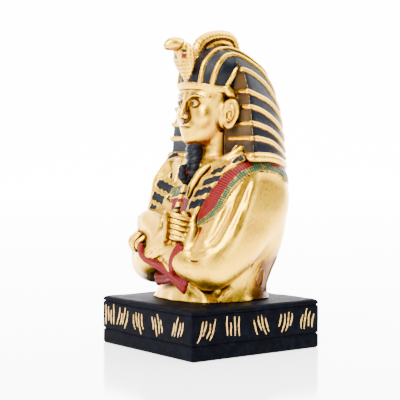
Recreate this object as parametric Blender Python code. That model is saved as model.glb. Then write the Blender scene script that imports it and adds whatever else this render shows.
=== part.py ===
"""Pharaoh bust on a square plinth: a small cast and painted ornament, in two solids."""

import math

import bmesh
import bpy
from mathutils import Vector
from mathutils.geometry import interpolate_bezier

# Driving dimensions, in metres. The plinth's underside is at z = 0 and the figure looks along -Y.
PLINTH_SIDE = 0.075
PLINTH_HEIGHT = 0.0235
PLINTH_EDGE = 0.0016
BAND_HEIGHT = 0.0120
BAND_CENTRE_DROP = 0.0107
GROOVE_WIDTH = 0.0007
GROOVE_DEPTH = 0.0004
BUST_HEIGHT = 0.1285
SEAT_GAP = 0.0003

# The figure is carved in figure units: one unit is a millimetre at its real height of 128.5 mm.
FIGURE_TALL = 128.5
UNIT = BUST_HEIGHT / FIGURE_TALL
BASE_Z = PLINTH_HEIGHT + SEAT_GAP

# How finely the overlapping shapes are fused into one casting, and how it is faceted.
FUSE_VOXEL = 0.75 * UNIT
FUSE_SMOOTHING = 3
FACETED_SHARE = 0.05
SUNK = 3.0

# Torso levels, in figure units: height, half width, front, back.
TORSO = (
    (-SUNK, 27.0, -23.0, 25.0),
    (0.0, 27.0, -23.0, 25.0),
    (6.5, 28.5, -23.5, 27.0),
    (14.5, 30.0, -24.5, 29.0),
    (24.5, 31.5, -24.5, 31.5),
    (34.5, 33.0, -21.5, 33.0),
    (41.0, 33.5, -18.0, 33.3),
    (47.5, 33.8, -14.5, 33.5),
    (54.0, 33.6, -11.5, 33.5),
    (58.0, 32.6, -10.0, 33.0),
    (61.0, 30.5, -9.0, 31.5),
    (63.5, 26.0, -8.0, 28.0),
    (65.5, 18.0, -7.0, 22.0),
)
TORSO_CENTRE_Y = 4.0
TORSO_SQUARENESS = 2.8

# Head levels: height, half width, front, back. The face is a plain one on even thirds.
HEAD = (
    (71.5, 5.0, -9.5, 3.0),
    (74.5, 8.2, -13.0, 7.0),
    (77.5, 10.6, -14.2, 9.0),
    (82.0, 12.5, -14.6, 11.0),
    (87.0, 13.6, -14.4, 12.0),
    (93.0, 14.2, -14.2, 13.0),
    (98.0, 14.5, -14.2, 14.0),
    (103.0, 14.5, -13.6, 14.0),
)
HEAD_CENTRE_Y = -1.0
HEAD_SQUARENESS = 2.2
NECK = ((60.0, 11.5, 11.0), (66.0, 9.8, 9.5), (73.0, 9.4, 9.0), (80.0, 9.6, 9.0))
NECK_CENTRE_Y = -0.5
CHIN_HEIGHT = 74.5
BROW_HEIGHT = 96.7
NOSE_HEIGHT = 85.6
FACE_FRONT_Y = -14.5
NOSE_OUT = 3.8
NOSE_HALF_WIDTH = 2.8
EAR_CENTRE = Vector((16.4, 0.6, 88.6))
EAR_HALF = Vector((1.6, 4.0, 6.4))

# Headdress levels: height, front half width, front, half width at the crest, back.
# Below the brow band the front lies inside the head, and the step out to the crest is the front panel.
HEADDRESS = (
    (60.6, 12.0, -1.0, 33.0, 33.8),
    (62.5, 12.0, -1.0, 33.4, 34.4),
    (68.5, 12.0, -1.0, 33.2, 34.6),
    (77.5, 13.0, -2.0, 32.3, 34.0),
    (83.5, 14.0, -3.0, 31.3, 33.2),
    (89.5, 14.0, -4.0, 30.0, 32.4),
    (95.0, 14.5, -6.0, 28.4, 30.8),
    (98.4, 14.8, -11.0, 27.0, 29.8),
    (99.2, 16.4, -14.8, 26.6, 29.6),
    (104.0, 17.2, -14.2, 24.6, 28.2),
    (107.5, 18.0, -12.4, 22.7, 26.8),
    (111.5, 17.0, -10.8, 18.8, 24.0),
    (115.5, 14.2, -8.4, 14.7, 20.6),
    (118.5, 10.6, -5.8, 10.9, 17.6),
    (121.0, 6.4, -2.6, 6.6, 14.2),
    (122.5, 2.5, 1.5, 2.6, 9.5),
)
CREST_Y = 1.0
HEADDRESS_SQUARENESS = 2.4
DOME_SQUARENESS = 2.1

# Gold bars of the headdress: crest height, and how far each falls by the middle of the back.
BARS = ((107.5, 33.0), (98.5, 31.0), (91.0, 26.0), (83.6, 19.0), (76.0, 12.0), (68.8, 6.0), (62.6, 1.0))
BAR_HALF = 1.1
BAR_OUT = 0.1
RIB_ANGLES = (16.0, 40.0, 64.0, 88.0)

# Lappet line on the figure's left: middle of the strip, and its half width.
LAPPET = (
    (24.0, -2.0, 64.0, 6.0),
    (21.5, -8.5, 60.5, 6.5),
    (18.2, -12.0, 55.5, 7.0),
    (15.0, -15.4, 48.5, 7.0),
    (13.2, -18.6, 42.5, 6.2),
    (12.6, -20.6, 38.0, 5.4),
)
LAPPET_HALF_THICK = 1.7

# Arms: centre line and radius, from shoulder to wrist, for the figure's left (+X).
UPPER_ARM = (
    (22.5, 4.0, 53.0, 10.0),
    (24.5, -3.0, 44.0, 11.0),
    (24.5, -8.5, 34.0, 11.5),
    (23.8, -13.5, 24.0, 11.0),
    (22.0, -16.5, 18.5, 10.2),
)
BACK_OF_ARM = (
    (20.5, 15.0, 47.0, 12.5),
    (22.5, 8.0, 38.0, 12.5),
    (23.5, -1.0, 28.5, 12.0),
    (23.0, -9.0, 20.5, 11.0),
    (22.0, -15.0, 17.0, 10.0),
)
FOREARM_OF_LEFT = (
    (22.0, -16.5, 18.0, 10.2),
    (14.0, -22.0, 18.5, 9.0),
    (5.0, -25.0, 22.0, 7.4),
    (-4.0, -26.5, 28.0, 5.8),
    (-9.0, -27.0, 32.0, 5.0),
)
FOREARM_OF_RIGHT = (
    (-22.0, -16.5, 18.0, 10.2),
    (-14.0, -23.5, 19.5, 8.6),
    (-5.5, -27.0, 23.5, 6.8),
    (2.0, -26.6, 28.0, 5.6),
    (6.0, -26.0, 31.5, 5.0),
)
FIST_OF_RIGHT = Vector((8.3, -25.6, 33.6))
FIST_OF_LEFT = Vector((-11.4, -27.2, 34.6))
FIST_HALF = Vector((5.2, 5.4, 6.0))
FINGERS = 4
FINGER_RADIUS = 1.65

# Crook and flail: centre lines and radii.
CROOK = (
    (8.4, -25.2, 25.4, 2.6),
    (8.0, -25.0, 28.0, 2.0),
    (7.2, -24.4, 33.0, 1.6),
    (5.0, -22.6, 41.5, 1.5),
    (1.6, -18.8, 50.0, 1.4),
    (0.6, -16.4, 54.0, 1.2),
)
FLAIL = (
    (-18.6, -30.6, 24.0, 3.1),
    (-16.8, -29.8, 28.6, 2.5),
    (-13.0, -27.6, 34.5, 1.8),
    (-9.0, -24.4, 42.0, 1.6),
    (-7.0, -21.8, 46.5, 1.3),
)

# Sash ribbons on the front, crossing low: centre line and half width.
RIBBON_ONE = (
    (-15.0, -30.6, 25.0, 1.6),
    (-14.0, -31.0, 19.5, 1.7),
    (-6.5, -31.0, 16.6, 1.8),
    (0.0, -27.6, 12.8, 2.2),
    (5.0, -25.2, 9.4, 2.5),
    (9.5, -24.6, 6.8, 3.0),
    (13.0, -23.9, 4.6, 3.8),
)
RIBBON_TWO = (
    (10.0, -29.6, 23.0, 1.8),
    (8.4, -31.2, 18.6, 1.8),
    (6.4, -29.0, 14.0, 2.0),
    (3.0, -25.6, 10.4, 2.3),
    (-3.0, -25.0, 7.6, 2.8),
    (-8.5, -24.2, 5.4, 3.8),
)
RIBBON_HALF_THICK = 1.4

# False beard: centre line and radius, from the throat to the tip that curls forward.
BEARD = (
    (0.0, -8.5, 74.0, 2.6),
    (0.0, -9.6, 71.0, 3.3),
    (0.0, -10.2, 65.0, 3.5),
    (0.0, -11.6, 59.0, 3.2),
    (0.0, -14.4, 55.6, 2.7),
    (0.0, -17.2, 56.4, 2.1),
    (0.0, -17.6, 59.0, 1.4),
)

# Cobra: the body over the crown, the hood in front, and the head.
COBRA_BODY = (
    (0.0, -11.0, 104.0, 2.4),
    (0.0, -8.2, 111.0, 2.8),
    (0.0, -6.8, 117.0, 3.0),
    (0.0, -3.8, 121.4, 3.1),
    (0.0, 1.6, 124.3, 3.1),
    (0.0, 7.6, 125.4, 3.1),
    (0.0, 13.0, 124.4, 3.0),
    (0.0, 15.2, 121.4, 2.6),
    (0.0, 15.6, 117.0, 2.2),
)
COBRA_NECK = (
    (0.0, -13.0, 104.0, 2.8),
    (0.0, -15.0, 108.0, 2.6),
    (0.0, -16.6, 114.0, 2.4),
    (0.0, -17.0, 119.0, 2.7),
    (0.0, -20.2, 120.6, 2.7),
    (0.0, -24.4, 118.2, 1.8),
)
COBRA_WEB = (
    (0.0, -5.0, 113.0, 2.0),
    (0.0, 0.0, 119.5, 2.0),
    (0.0, 7.0, 121.5, 2.0),
    (0.0, 13.0, 119.5, 2.0),
)
HOOD = (
    (103.5, -13.2, 2.6),
    (107.0, -14.6, 4.4),
    (111.0, -16.4, 6.2),
    (115.0, -17.6, 7.0),
    (118.5, -18.0, 6.2),
    (121.2, -18.0, 3.4),
)
HOOD_HALF_THICK = 1.9

# Broad collar: middle of its raised band from chest to nape on the figure's left, and its half width.
COLLAR = (
    (0.0, -18.8, 42.0, 4.6),
    (8.0, -18.6, 42.0, 4.8),
    (17.5, -17.0, 43.5, 4.8),
    (24.0, -11.5, 50.0, 4.8),
    (28.0, -2.0, 57.0, 4.8),
    (28.5, 8.0, 60.5, 4.8),
    (24.0, 20.0, 60.5, 4.6),
)
COLLAR_HALF_THICK = 1.3

SEGMENTS = 48
TUBE_SIDES = 14
PATH_STEPS = 4
CORNERS = ((-1, -1), (1, -1), (1, 1), (-1, 1))


def in_figure(point):
    """A point in figure units, its height counted from the figure's foot, in the part's metres."""
    x, y, height = point
    return Vector((x * UNIT, y * UNIT, BASE_Z + height * UNIT))


def rounded(angle, half_x, half_y, squareness):
    """A point of a superellipse: angle 0 is +X and 90 degrees is +Y."""
    c, s = math.cos(angle), math.sin(angle)
    power = 2.0 / squareness
    return (
        math.copysign(abs(c) ** power, c) * half_x,
        math.copysign(abs(s) ** power, s) * half_y,
    )


def loft(bm, rings):
    """Bridges rings of equally many points into one closed shape, with flat caps."""
    loops = [[bm.verts.new(in_figure(p)) for p in ring] for ring in rings]
    faces = []
    for lower, upper in zip(loops, loops[1:]):
        count = len(lower)
        for i in range(count):
            j = (i + 1) % count
            faces.append(bm.faces.new((lower[i], lower[j], upper[j], upper[i])))
    faces.append(bm.faces.new(tuple(reversed(loops[0]))))
    faces.append(bm.faces.new(tuple(loops[-1])))
    bmesh.ops.recalc_face_normals(bm, faces=faces)


def level_ring(height, half_width, front, back, centre_y, squareness):
    """A horizontal section whose front and back halves have their own depths."""
    ring = []
    for i in range(SEGMENTS):
        angle = 2 * math.pi * i / SEGMENTS
        depth = back - centre_y if angle < math.pi else centre_y - front
        x, y = rounded(angle, half_width, depth, squareness)
        ring.append((x, centre_y + y, height))
    return ring


def smooth_path(stations):
    """The stations with points put between them on Bezier curves, radii or half widths included."""
    values = [Vector(s[:3]) for s in stations]
    last = len(values) - 1
    slopes = []
    for i in range(last + 1):
        before, after = max(i - 1, 0), min(i + 1, last)
        slopes.append((values[after] - values[before]) / (after - before))
    points, sizes = [], []
    for i in range(last):
        leaving, arriving = values[i] + slopes[i] / 3, values[i + 1] - slopes[i + 1] / 3
        between = interpolate_bezier(values[i], leaving, arriving, values[i + 1], PATH_STEPS + 1)
        for step, point in enumerate(between[: PATH_STEPS + (i == last - 1)]):
            points.append(point)
            sizes.append(stations[i][3] + (stations[i + 1][3] - stations[i][3]) * step / PATH_STEPS)
    return points, sizes


def sweep(bm, stations, half_thick=None, facing=None, squareness=2.0):
    """A round tube along the stations, or a strip half_thick deep whose flat side faces the given way."""
    points, sizes = smooth_path(stations)
    rings = []
    for i, (point, size) in enumerate(zip(points, sizes)):
        along = (points[min(i + 1, len(points) - 1)] - points[max(i - 1, 0)]).normalized()
        out = facing(point) if facing else Vector((0.0, -1.0, 0.3))
        out = (out - along * out.dot(along)).normalized()
        across = along.cross(out)
        ends = 0.72 if i in (0, len(points) - 1) else 1.0
        ring = []
        for k in range(TUBE_SIDES):
            turn = 2 * math.pi * k / TUBE_SIDES
            a, b = rounded(turn, size * ends, (half_thick or size) * ends, squareness)
            ring.append(point + across * a + out * b)
        rings.append(ring)
    loft(bm, rings)


def ellipsoid(bm, centre, half, squareness=2.0, turns=10):
    """A closed rounded form: an ellipsoid, or a softened box with a higher squareness."""
    rings = []
    for i in range(turns + 1):
        climb = math.pi * (i + 0.35) / (turns + 0.7) - math.pi / 2
        radius, height = rounded(climb, 1.0, half.z, squareness)
        ring = []
        for k in range(TUBE_SIDES):
            x, y = rounded(2 * math.pi * k / TUBE_SIDES, half.x * radius, half.y * radius, squareness)
            ring.append((centre.x + x, centre.y + y, centre.z + height))
        rings.append(ring)
    loft(bm, rings)


def mirrored(stations):
    return tuple((-s[0], *s[1:]) for s in stations)


def torso(bm):
    loft(bm, [level_ring(*level, TORSO_CENTRE_Y, TORSO_SQUARENESS) for level in TORSO])


def outward_from_chest(point):
    return Vector((point.x * 0.8, point.y - 6.0, 0.5 * point.z - 12.0)).normalized()


def broad_collar(bm):
    for line in (COLLAR, mirrored(COLLAR)):
        sweep(bm, line, COLLAR_HALF_THICK, outward_from_chest, squareness=4.0)


def neck(bm):
    rings = []
    for height, half_width, half_depth in NECK:
        front, back = NECK_CENTRE_Y - half_depth, NECK_CENTRE_Y + half_depth
        rings.append(level_ring(height, half_width, front, back, NECK_CENTRE_Y, 2.0))
    loft(bm, rings)


def head(bm):
    loft(bm, [level_ring(*level, HEAD_CENTRE_Y, HEAD_SQUARENESS) for level in HEAD])
    bridge = (0.0, FACE_FRONT_Y + 1.2, BROW_HEIGHT, 1.3)
    tip_y = FACE_FRONT_Y - NOSE_OUT + NOSE_HALF_WIDTH * 0.5
    tip = (0.0, tip_y, NOSE_HEIGHT + 1.2, NOSE_HALF_WIDTH * 0.6)
    foot = (0.0, FACE_FRONT_Y + 1.0, NOSE_HEIGHT - 0.4, NOSE_HALF_WIDTH * 0.7)
    sweep(bm, (bridge, tip, foot))
    mouth_height = NOSE_HEIGHT - (NOSE_HEIGHT - CHIN_HEIGHT) / 3
    for lip in (0.8, -0.8):
        ellipsoid(bm, Vector((0.0, FACE_FRONT_Y + 0.6, mouth_height + lip)), Vector((4.0, 1.6, 1.0)))
    for side in (-1, 1):
        centre = Vector((EAR_CENTRE.x * side, EAR_CENTRE.y, EAR_CENTRE.z))
        ellipsoid(bm, centre, EAR_HALF)


def headdress_level(height):
    """The headdress's sizes at a height, between its levels."""
    for lower, upper in zip(HEADDRESS, HEADDRESS[1:]):
        if height <= upper[0]:
            break
    share = min(max((height - lower[0]) / (upper[0] - lower[0]), 0.0), 1.0)
    return [a + (b - a) * share for a, b in zip(lower, upper)]


def headdress_outline(height, step):
    """A point of the section at a height: step runs 0 to 1 from crest to crest round the back."""
    _, _, _, half_width, back = headdress_level(height)
    x, y = rounded(math.pi * step, half_width, back - CREST_Y, HEADDRESS_SQUARENESS)
    return x, CREST_Y + y


def headdress(bm):
    rings = []
    half = SEGMENTS // 2
    for height, front_half_width, front, half_width, back in HEADDRESS:
        ring = [(*headdress_outline(height, i / half), height) for i in range(half + 1)]
        for i in range(half + 1):
            angle = math.pi * (1 + i / half)
            x, y = rounded(angle, front_half_width, CREST_Y - front, DOME_SQUARENESS)
            ring.append((x, CREST_Y - 0.15 + y, height))
        rings.append(ring)
    loft(bm, rings)


def bars(bm):
    """Gold bars that cross the front panels and run round the back, falling towards its middle."""
    for crest_height, fall in BARS:
        for side in (-1, 1):
            line = []
            for i in range(9):
                height = crest_height - fall * (i / 8) ** 1.2
                x, y = headdress_outline(height, 0.5 * i / 8 + 0.004)
                line.append((side * (x + BAR_OUT), y + BAR_OUT * i / 8, height, BAR_HALF))
            sweep(bm, line)
            _, inner, _, outer, _ = headdress_level(crest_height)
            if outer - inner > 4.0:
                reaches = (inner - 1.0, (inner + outer) / 2, outer)
                sweep(bm, [(side * x, CREST_Y, crest_height, BAR_HALF) for x in reaches])


def brow_band_and_ribs(bm):
    low, high = 99.6, 104.2
    rings = []
    for height, out in ((low, 0.2), (low + 0.6, 0.9), (high - 0.6, 0.9), (high, 0.2)):
        _, half_width, front, _, _ = headdress_level(height)
        rings.append(level_ring(height, half_width + out, front - out, 6.0, CREST_Y, DOME_SQUARENESS))
    loft(bm, rings)
    top = HEADDRESS[-1][0] - 1.5
    for degrees in RIB_ANGLES:
        for side in (-1, 1):
            line = []
            for i in range(6):
                height = high + (top - high) * math.sin(math.pi / 2 * i / 5)
                _, half_width, front, _, _ = headdress_level(height)
                angle = math.radians(degrees - 90.0)
                x, y = rounded(angle, half_width, CREST_Y - front, DOME_SQUARENESS)
                line.append((side * x, CREST_Y + y, height, BAR_HALF))
            sweep(bm, line)


def lappets(bm):
    for line in (LAPPET, mirrored(LAPPET)):
        sweep(bm, line, LAPPET_HALF_THICK, outward_from_chest, squareness=3.2)


def fist(bm, centre, side):
    """A closed hand: a softened box with four fingers folded round its outer end."""
    ellipsoid(bm, centre, FIST_HALF, squareness=3.4)
    top = centre.z + FIST_HALF.z - FINGER_RADIUS
    pitch = 2 * (FIST_HALF.z - FINGER_RADIUS) / (FINGERS - 1)
    for i in range(FINGERS):
        height = top - i * pitch
        knuckle = (1.5, 0.9 - FIST_HALF.y)
        corner = (FIST_HALF.x - 0.8, 1.4 - FIST_HALF.y)
        middle = (FIST_HALF.x, 0.0)
        tip = (FIST_HALF.x - 1.4, FIST_HALF.y - 1.2)
        joints = (knuckle, corner, middle, tip)
        sweep(bm, [(centre.x + side * x, centre.y + y, height, FINGER_RADIUS) for x, y in joints])


def arms(bm):
    for line in (UPPER_ARM, BACK_OF_ARM):
        sweep(bm, line)
        sweep(bm, mirrored(line))
    sweep(bm, FOREARM_OF_LEFT)
    sweep(bm, FOREARM_OF_RIGHT)
    fist(bm, FIST_OF_RIGHT, 1)
    fist(bm, FIST_OF_LEFT, -1)


def crook_and_flail(bm):
    sweep(bm, CROOK)
    sweep(bm, FLAIL)


def ribbons(bm):
    for line in (RIBBON_ONE, RIBBON_TWO):
        sweep(bm, line, RIBBON_HALF_THICK, squareness=3.0)


def beard(bm):
    sweep(bm, BEARD)


def cobra(bm):
    sweep(bm, COBRA_BODY)
    sweep(bm, COBRA_NECK)
    rings = []
    for height, middle, half in HOOD:
        front, back = middle - HOOD_HALF_THICK, middle + HOOD_HALF_THICK
        rings.append(level_ring(height, half, front, back, middle, 2.2))
    loft(bm, rings)
    sweep(bm, COBRA_WEB)


def painted(name, colour, roughness, metallic):
    material = bpy.data.materials.new(name)
    material.use_nodes = True
    shader = material.node_tree.nodes["Principled BSDF"]
    shader.inputs["Base Color"].default_value = (*colour, 1.0)
    shader.inputs["Roughness"].default_value = roughness
    shader.inputs["Metallic"].default_value = metallic
    return material


def new_object(name, bm, material):
    mesh = bpy.data.meshes.new(name)
    bm.to_mesh(mesh)
    bm.free()
    obj = bpy.data.objects.new(name, mesh)
    mesh.materials.append(material)
    bpy.context.scene.collection.objects.link(obj)
    return obj


def box(bm, half_x, half_y, low, high):
    verts = [bm.verts.new((sx * half_x, sy * half_y, z)) for z in (low, high) for sx, sy in CORNERS]
    for face in ((3, 2, 1, 0), (4, 5, 6, 7), (0, 1, 5, 4), (1, 2, 6, 5), (2, 3, 7, 6), (3, 0, 4, 7)):
        bm.faces.new([verts[i] for i in face])


def helper(name, bm):
    obj = new_object(name, bm, None)
    obj.hide_render = True
    obj.display_type = "WIRE"
    return obj


def make_bust():
    bm = bmesh.new()
    for carve in (torso, arms, broad_collar, lappets, neck, beard, head):
        carve(bm)
    for carve in (headdress, bars, brow_band_and_ribs, cobra, crook_and_flail, ribbons):
        carve(bm)
    bust = new_object("bust", bm, painted("gold_paint", (0.75, 0.50, 0.16), 0.32, 0.85))
    fuse = bust.modifiers.new("fuse", "REMESH")
    fuse.mode = "VOXEL"
    fuse.voxel_size = FUSE_VOXEL
    soften = bust.modifiers.new("soften", "SMOOTH")
    soften.factor = 0.5
    soften.iterations = FUSE_SMOOTHING
    facet = bust.modifiers.new("facet", "DECIMATE")
    facet.ratio = FACETED_SHARE
    foot = bmesh.new()
    box(foot, PLINTH_SIDE, PLINTH_SIDE, BASE_Z - 3 * SUNK * UNIT, BASE_Z)
    trim = bust.modifiers.new("flat_foot", "BOOLEAN")
    trim.operation = "DIFFERENCE"
    trim.object = helper("foot_cutter", foot)
    return bust


def make_plinth():
    half = PLINTH_SIDE / 2
    bm = bmesh.new()
    box(bm, half, half, 0.0, PLINTH_HEIGHT)
    plinth = new_object("plinth", bm, painted("black_paint", (0.012, 0.014, 0.022), 0.28, 0.0))
    rounding = plinth.modifiers.new("soft_edges", "BEVEL")
    rounding.width = PLINTH_EDGE
    rounding.segments = 3
    for edge, side in (("upper", 1), ("lower", -1)):
        height = PLINTH_HEIGHT - BAND_CENTRE_DROP + side * BAND_HEIGHT / 2
        groove = bmesh.new()
        outer, inner = half * 1.2, half - GROOVE_DEPTH
        loops = []
        for reach in (outer, inner):
            for z in (height - GROOVE_WIDTH / 2, height + GROOVE_WIDTH / 2):
                loops.append([groove.verts.new((sx * reach, sy * reach, z)) for sx, sy in CORNERS])
        outer_low, outer_high, inner_low, inner_high = loops
        around = (outer_low, outer_high, inner_high, inner_low)
        for a, b in zip(around, around[1:] + around[:1]):
            for i in range(4):
                j = (i + 1) % 4
                groove.faces.new((a[i], a[j], b[j], b[i]))
        bmesh.ops.recalc_face_normals(groove, faces=groove.faces[:])
        cut = plinth.modifiers.new(f"{edge}_groove", "BOOLEAN")
        cut.operation = "DIFFERENCE"
        cut.object = helper(f"{edge}_groove_cutter", groove)
    return plinth


def main():
    for obj in list(bpy.data.objects):
        bpy.data.objects.remove(obj)
    make_plinth()
    make_bust()


main()
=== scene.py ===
"""A painted pharaoh bust on a black plinth, as a small cast souvenir, seen as in its photograph."""

import math

import bpy
import numpy as np
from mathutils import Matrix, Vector


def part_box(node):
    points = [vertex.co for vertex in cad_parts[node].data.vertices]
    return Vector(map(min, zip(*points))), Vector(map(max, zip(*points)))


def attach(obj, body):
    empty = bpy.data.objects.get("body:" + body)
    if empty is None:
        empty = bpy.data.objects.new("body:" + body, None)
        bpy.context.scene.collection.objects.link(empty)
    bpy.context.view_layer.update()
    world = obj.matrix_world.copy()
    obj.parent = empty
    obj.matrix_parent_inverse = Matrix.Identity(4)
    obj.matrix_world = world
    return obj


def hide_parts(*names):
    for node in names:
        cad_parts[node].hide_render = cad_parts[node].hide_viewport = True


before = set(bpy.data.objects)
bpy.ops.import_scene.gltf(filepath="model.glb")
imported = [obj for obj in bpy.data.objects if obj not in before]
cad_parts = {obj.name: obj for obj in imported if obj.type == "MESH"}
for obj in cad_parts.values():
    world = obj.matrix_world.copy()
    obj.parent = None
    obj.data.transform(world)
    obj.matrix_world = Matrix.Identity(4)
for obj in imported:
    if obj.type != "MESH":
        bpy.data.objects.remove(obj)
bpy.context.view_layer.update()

# The plinth is a cast block, hand-finished before it was painted blue-black: its edges are soft
# and a little wavy, and two grooves frame the band of marks on each side. It is swept here as one
# profile round a rounded square.


def unevenness(x, y, z, size, seed):
    """A smooth wavering of about -1 to 1, as hand-finished castings have, from a few mixed waves."""
    total = 0.0
    for k in range(1, 5):
        a, b, c = np.sin(seed * k * 1.7 + np.array([0.3, 1.9, 4.1]))
        total = total + np.sin((a * x + b * y + c * z) * 2.4 / size * (0.7 + 0.25 * k) + seed + k * 2.1)
    return total / 2.6


def mesh_of(name, points, faces, smooth=True):
    """A mesh object from points in millimetres and faces that all have as many corners."""
    mesh = bpy.data.meshes.new(name)
    points = np.asarray(points, np.float32) / 1000.0
    faces = np.asarray(faces, np.int32)
    corners = faces.shape[1]
    mesh.vertices.add(len(points))
    mesh.vertices.foreach_set("co", points.ravel())
    mesh.loops.add(faces.size)
    mesh.loops.foreach_set("vertex_index", faces.ravel())
    mesh.polygons.add(len(faces))
    mesh.polygons.foreach_set("loop_start", np.arange(len(faces), dtype=np.int32) * corners)
    mesh.polygons.foreach_set("loop_total", np.full(len(faces), corners, np.int32))
    mesh.update(calc_edges=True)
    mesh.validate()
    if smooth:
        mesh.shade_smooth()
    obj = bpy.data.objects.new(name, mesh)
    bpy.context.scene.collection.objects.link(obj)
    return obj


plinth_low, plinth_high = (np.array(corner) * 1000.0 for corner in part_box("plinth"))
plinth_half = (plinth_high[0] - plinth_low[0]) / 2
plinth_top = plinth_high[2]


SKIN = 0.02
LOW_GROOVE, HIGH_GROOVE = (7.1, 1.2), (20.6, 1.0)


def groove(height, width):
    """Points of a rounded groove, 0.5 deep, in the profile."""
    steps = np.linspace(0, 1, 9)
    return [(height + width * (s - 0.5), SKIN + 0.5 * math.sin(math.pi * s) ** 1.5) for s in steps]


def plinth_profile():
    """Height and how far in from the side, from the middle of the underside to the middle of the top."""
    outline = [(0.0, 20.0), (0.0, 8.0), (0.0, 2.0)]
    outline += [(0.9 - 0.9 * math.cos(a), 1.0 - 0.9 * math.sin(a)) for a in np.linspace(0.1, 1.5, 6)]
    outline += [(z, SKIN) for z in (2.0, 3.4, 4.8, 6.0)] + groove(*LOW_GROOVE)
    outline += [(z, SKIN) for z in np.linspace(8.2, 19.2, 14)] + groove(*HIGH_GROOVE)
    for a in np.linspace(0.0, 1.5, 7):
        outline.append((plinth_top - 1.7 + 1.7 * math.sin(a), SKIN + 1.9 - 1.9 * math.cos(a)))
    return outline + [(plinth_top - SKIN, inset) for inset in (3.2, 6.0, 12.0, 22.0)]


def plinth_points(profile, around):
    """Rings of points round a rounded square, one for each step of the profile."""
    rings = []
    for z, inset in profile:
        half = plinth_half - inset
        corner = min(max(0.9 + inset * 0.7, 0.6), 4.0, half)
        ring = []
        for side in range(4):
            turn = side * math.pi / 2
            straight = np.linspace(-(half - corner), half - corner, around)
            bend = np.linspace(0.0, math.pi / 2, 7)[1:-1]
            xs = np.concatenate([straight, half - corner + corner * np.sin(bend)])
            ys = np.concatenate([np.full(around, -half), -half + corner - corner * np.cos(bend)])
            c, s = math.cos(turn), math.sin(turn)
            ring.append(np.stack([xs * c - ys * s, xs * s + ys * c], 1))
        ring = np.concatenate(ring)
        rings.append(np.column_stack([ring, np.full(len(ring), z)]))
    return np.array(rings)


def soften(rings):
    """Wavers the block inwards only, so that it stays inside its nominal box."""
    x, y, z = rings[..., 0], rings[..., 1], rings[..., 2]
    wave = 0.5 + 0.5 * np.clip(unevenness(x, y, z, 26.0, 3.0), -1, 1)
    fine = 0.5 + 0.5 * np.clip(unevenness(x, y, z, 7.0, 8.0), -1, 1)
    side = np.clip(z / 3.0, 0, 1)
    shrink = 1.0 - (0.10 * wave + 0.05 * fine) * side / plinth_half
    moved = rings.copy()
    moved[..., 0] *= shrink
    moved[..., 1] *= shrink
    bulge = np.sin(math.pi * np.clip(z / plinth_top, 0, 1))
    moved[..., 2] += 0.35 * unevenness(x, y, 0 * z, 15.0, 5.0) * bulge
    rim = np.clip((z - plinth_top + 2.5) / 2.5, 0, 1)
    rim = rim * np.clip((np.maximum(abs(x), abs(y)) - 26) / 8, 0, 1)
    moved[..., 2] -= (0.5 * wave + 0.15 * fine) * rim
    return moved


block = soften(plinth_points(plinth_profile(), 44))
levels, around, _ = block.shape
triangles = []
for a in range((levels - 1) * around):
    b = a + 1 if (a + 1) % around else a + 1 - around
    triangles += [(a, b, b + around), (a, b + around, a + around)]
under = levels * around
top = under - around
for i in range(around):
    j = (i + 1) % around
    triangles += [(j, i, under), (top + i, top + j, under + 1)]
middles = np.array([[0.0, 0.0, 0.0], [0.0, 0.0, plinth_top - SKIN]])
points = np.concatenate([block.reshape(-1, 3), middles])
plinth = mesh_of("plinth_block", points, triangles)
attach(plinth, "root")
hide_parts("plinth")

# Each side carries a band of raised strokes with worn gold on them. They are plain strokes in
# uneven groups and stand for no sign. Each one is a thin strand, half sunk in the side.
STATIONS, AROUND = 11, 6
MARK_PLACES = ((-31.0, -19.6, -6.3, 9.6, 26.0), (-29.5, -14.7, 1.9, 16.8, 30.0)) * 2


def stroke(side, middle, length, turn, bow, radius=0.52):
    """Points of a thin strand laid on a side of the plinth, a ring of them at each station."""
    t = np.linspace(0, 1, STATIONS)
    run = length * (t - 0.5)
    off = bow * (np.sin(math.pi * t) - 0.6) + 0.12 * np.sin(7.0 * t + 3.0 * turn + middle[0])
    across = middle[0] + run * math.sin(turn) + off * math.cos(turn)
    up = middle[1] + run * math.cos(turn) - off * math.sin(turn)
    width = radius * np.clip(np.sin(math.pi * (0.08 + 0.84 * t)), 0.1, 1) ** 0.4
    ring = np.arange(AROUND) * math.tau / AROUND
    local = np.zeros((STATIONS, AROUND, 3))
    local[..., 0] = across[:, None] + width[:, None] * np.cos(ring) * math.cos(turn)
    local[..., 1] = -(plinth_half - SKIN) + 0.12 - 0.7 * width[:, None] * np.sin(ring)
    local[..., 2] = up[:, None] - width[:, None] * np.cos(ring) * math.sin(turn)
    c, s = math.cos(side * math.pi / 2), math.sin(side * math.pi / 2)
    x, y = local[..., 0] * c - local[..., 1] * s, local[..., 0] * s + local[..., 1] * c
    return soften(np.stack([x, y, local[..., 2]], -1)).reshape(-1, 3)


points, triangles = [], []
for side, places in enumerate(MARK_PLACES):
    for k, place in enumerate(places):
        lean = 0.34 * math.sin(k * 1.9 + side * 1.3)
        bow = 0.6 * math.sin(k * 2.3 + side)
        for i in range(4):
            seed = math.sin(side * 5.3 + k * 2.9 + i * 2.4)
            start = STATIONS * AROUND * len(points)
            end = start + (STATIONS - 1) * AROUND
            middle = (place + (i - 1.5) * 2.3, 13.9 + 0.9 * seed)
            points.append(stroke(side, middle, 8.0 + 2.0 * math.cos(i * 2.1 + k), lean, bow))
            for p in range(start, end):
                q = p + 1 if (p + 1 - start) % AROUND else p + 1 - AROUND
                triangles += [(p, q, q + AROUND), (p, q + AROUND, p + AROUND)]
            for b in range(1, AROUND - 1):
                triangles += [(start, start + b + 1, start + b), (end, end + b, end + b + 1)]
strokes = mesh_of("plinth_strokes", np.concatenate(points), triangles)
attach(strokes, "root")


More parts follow.
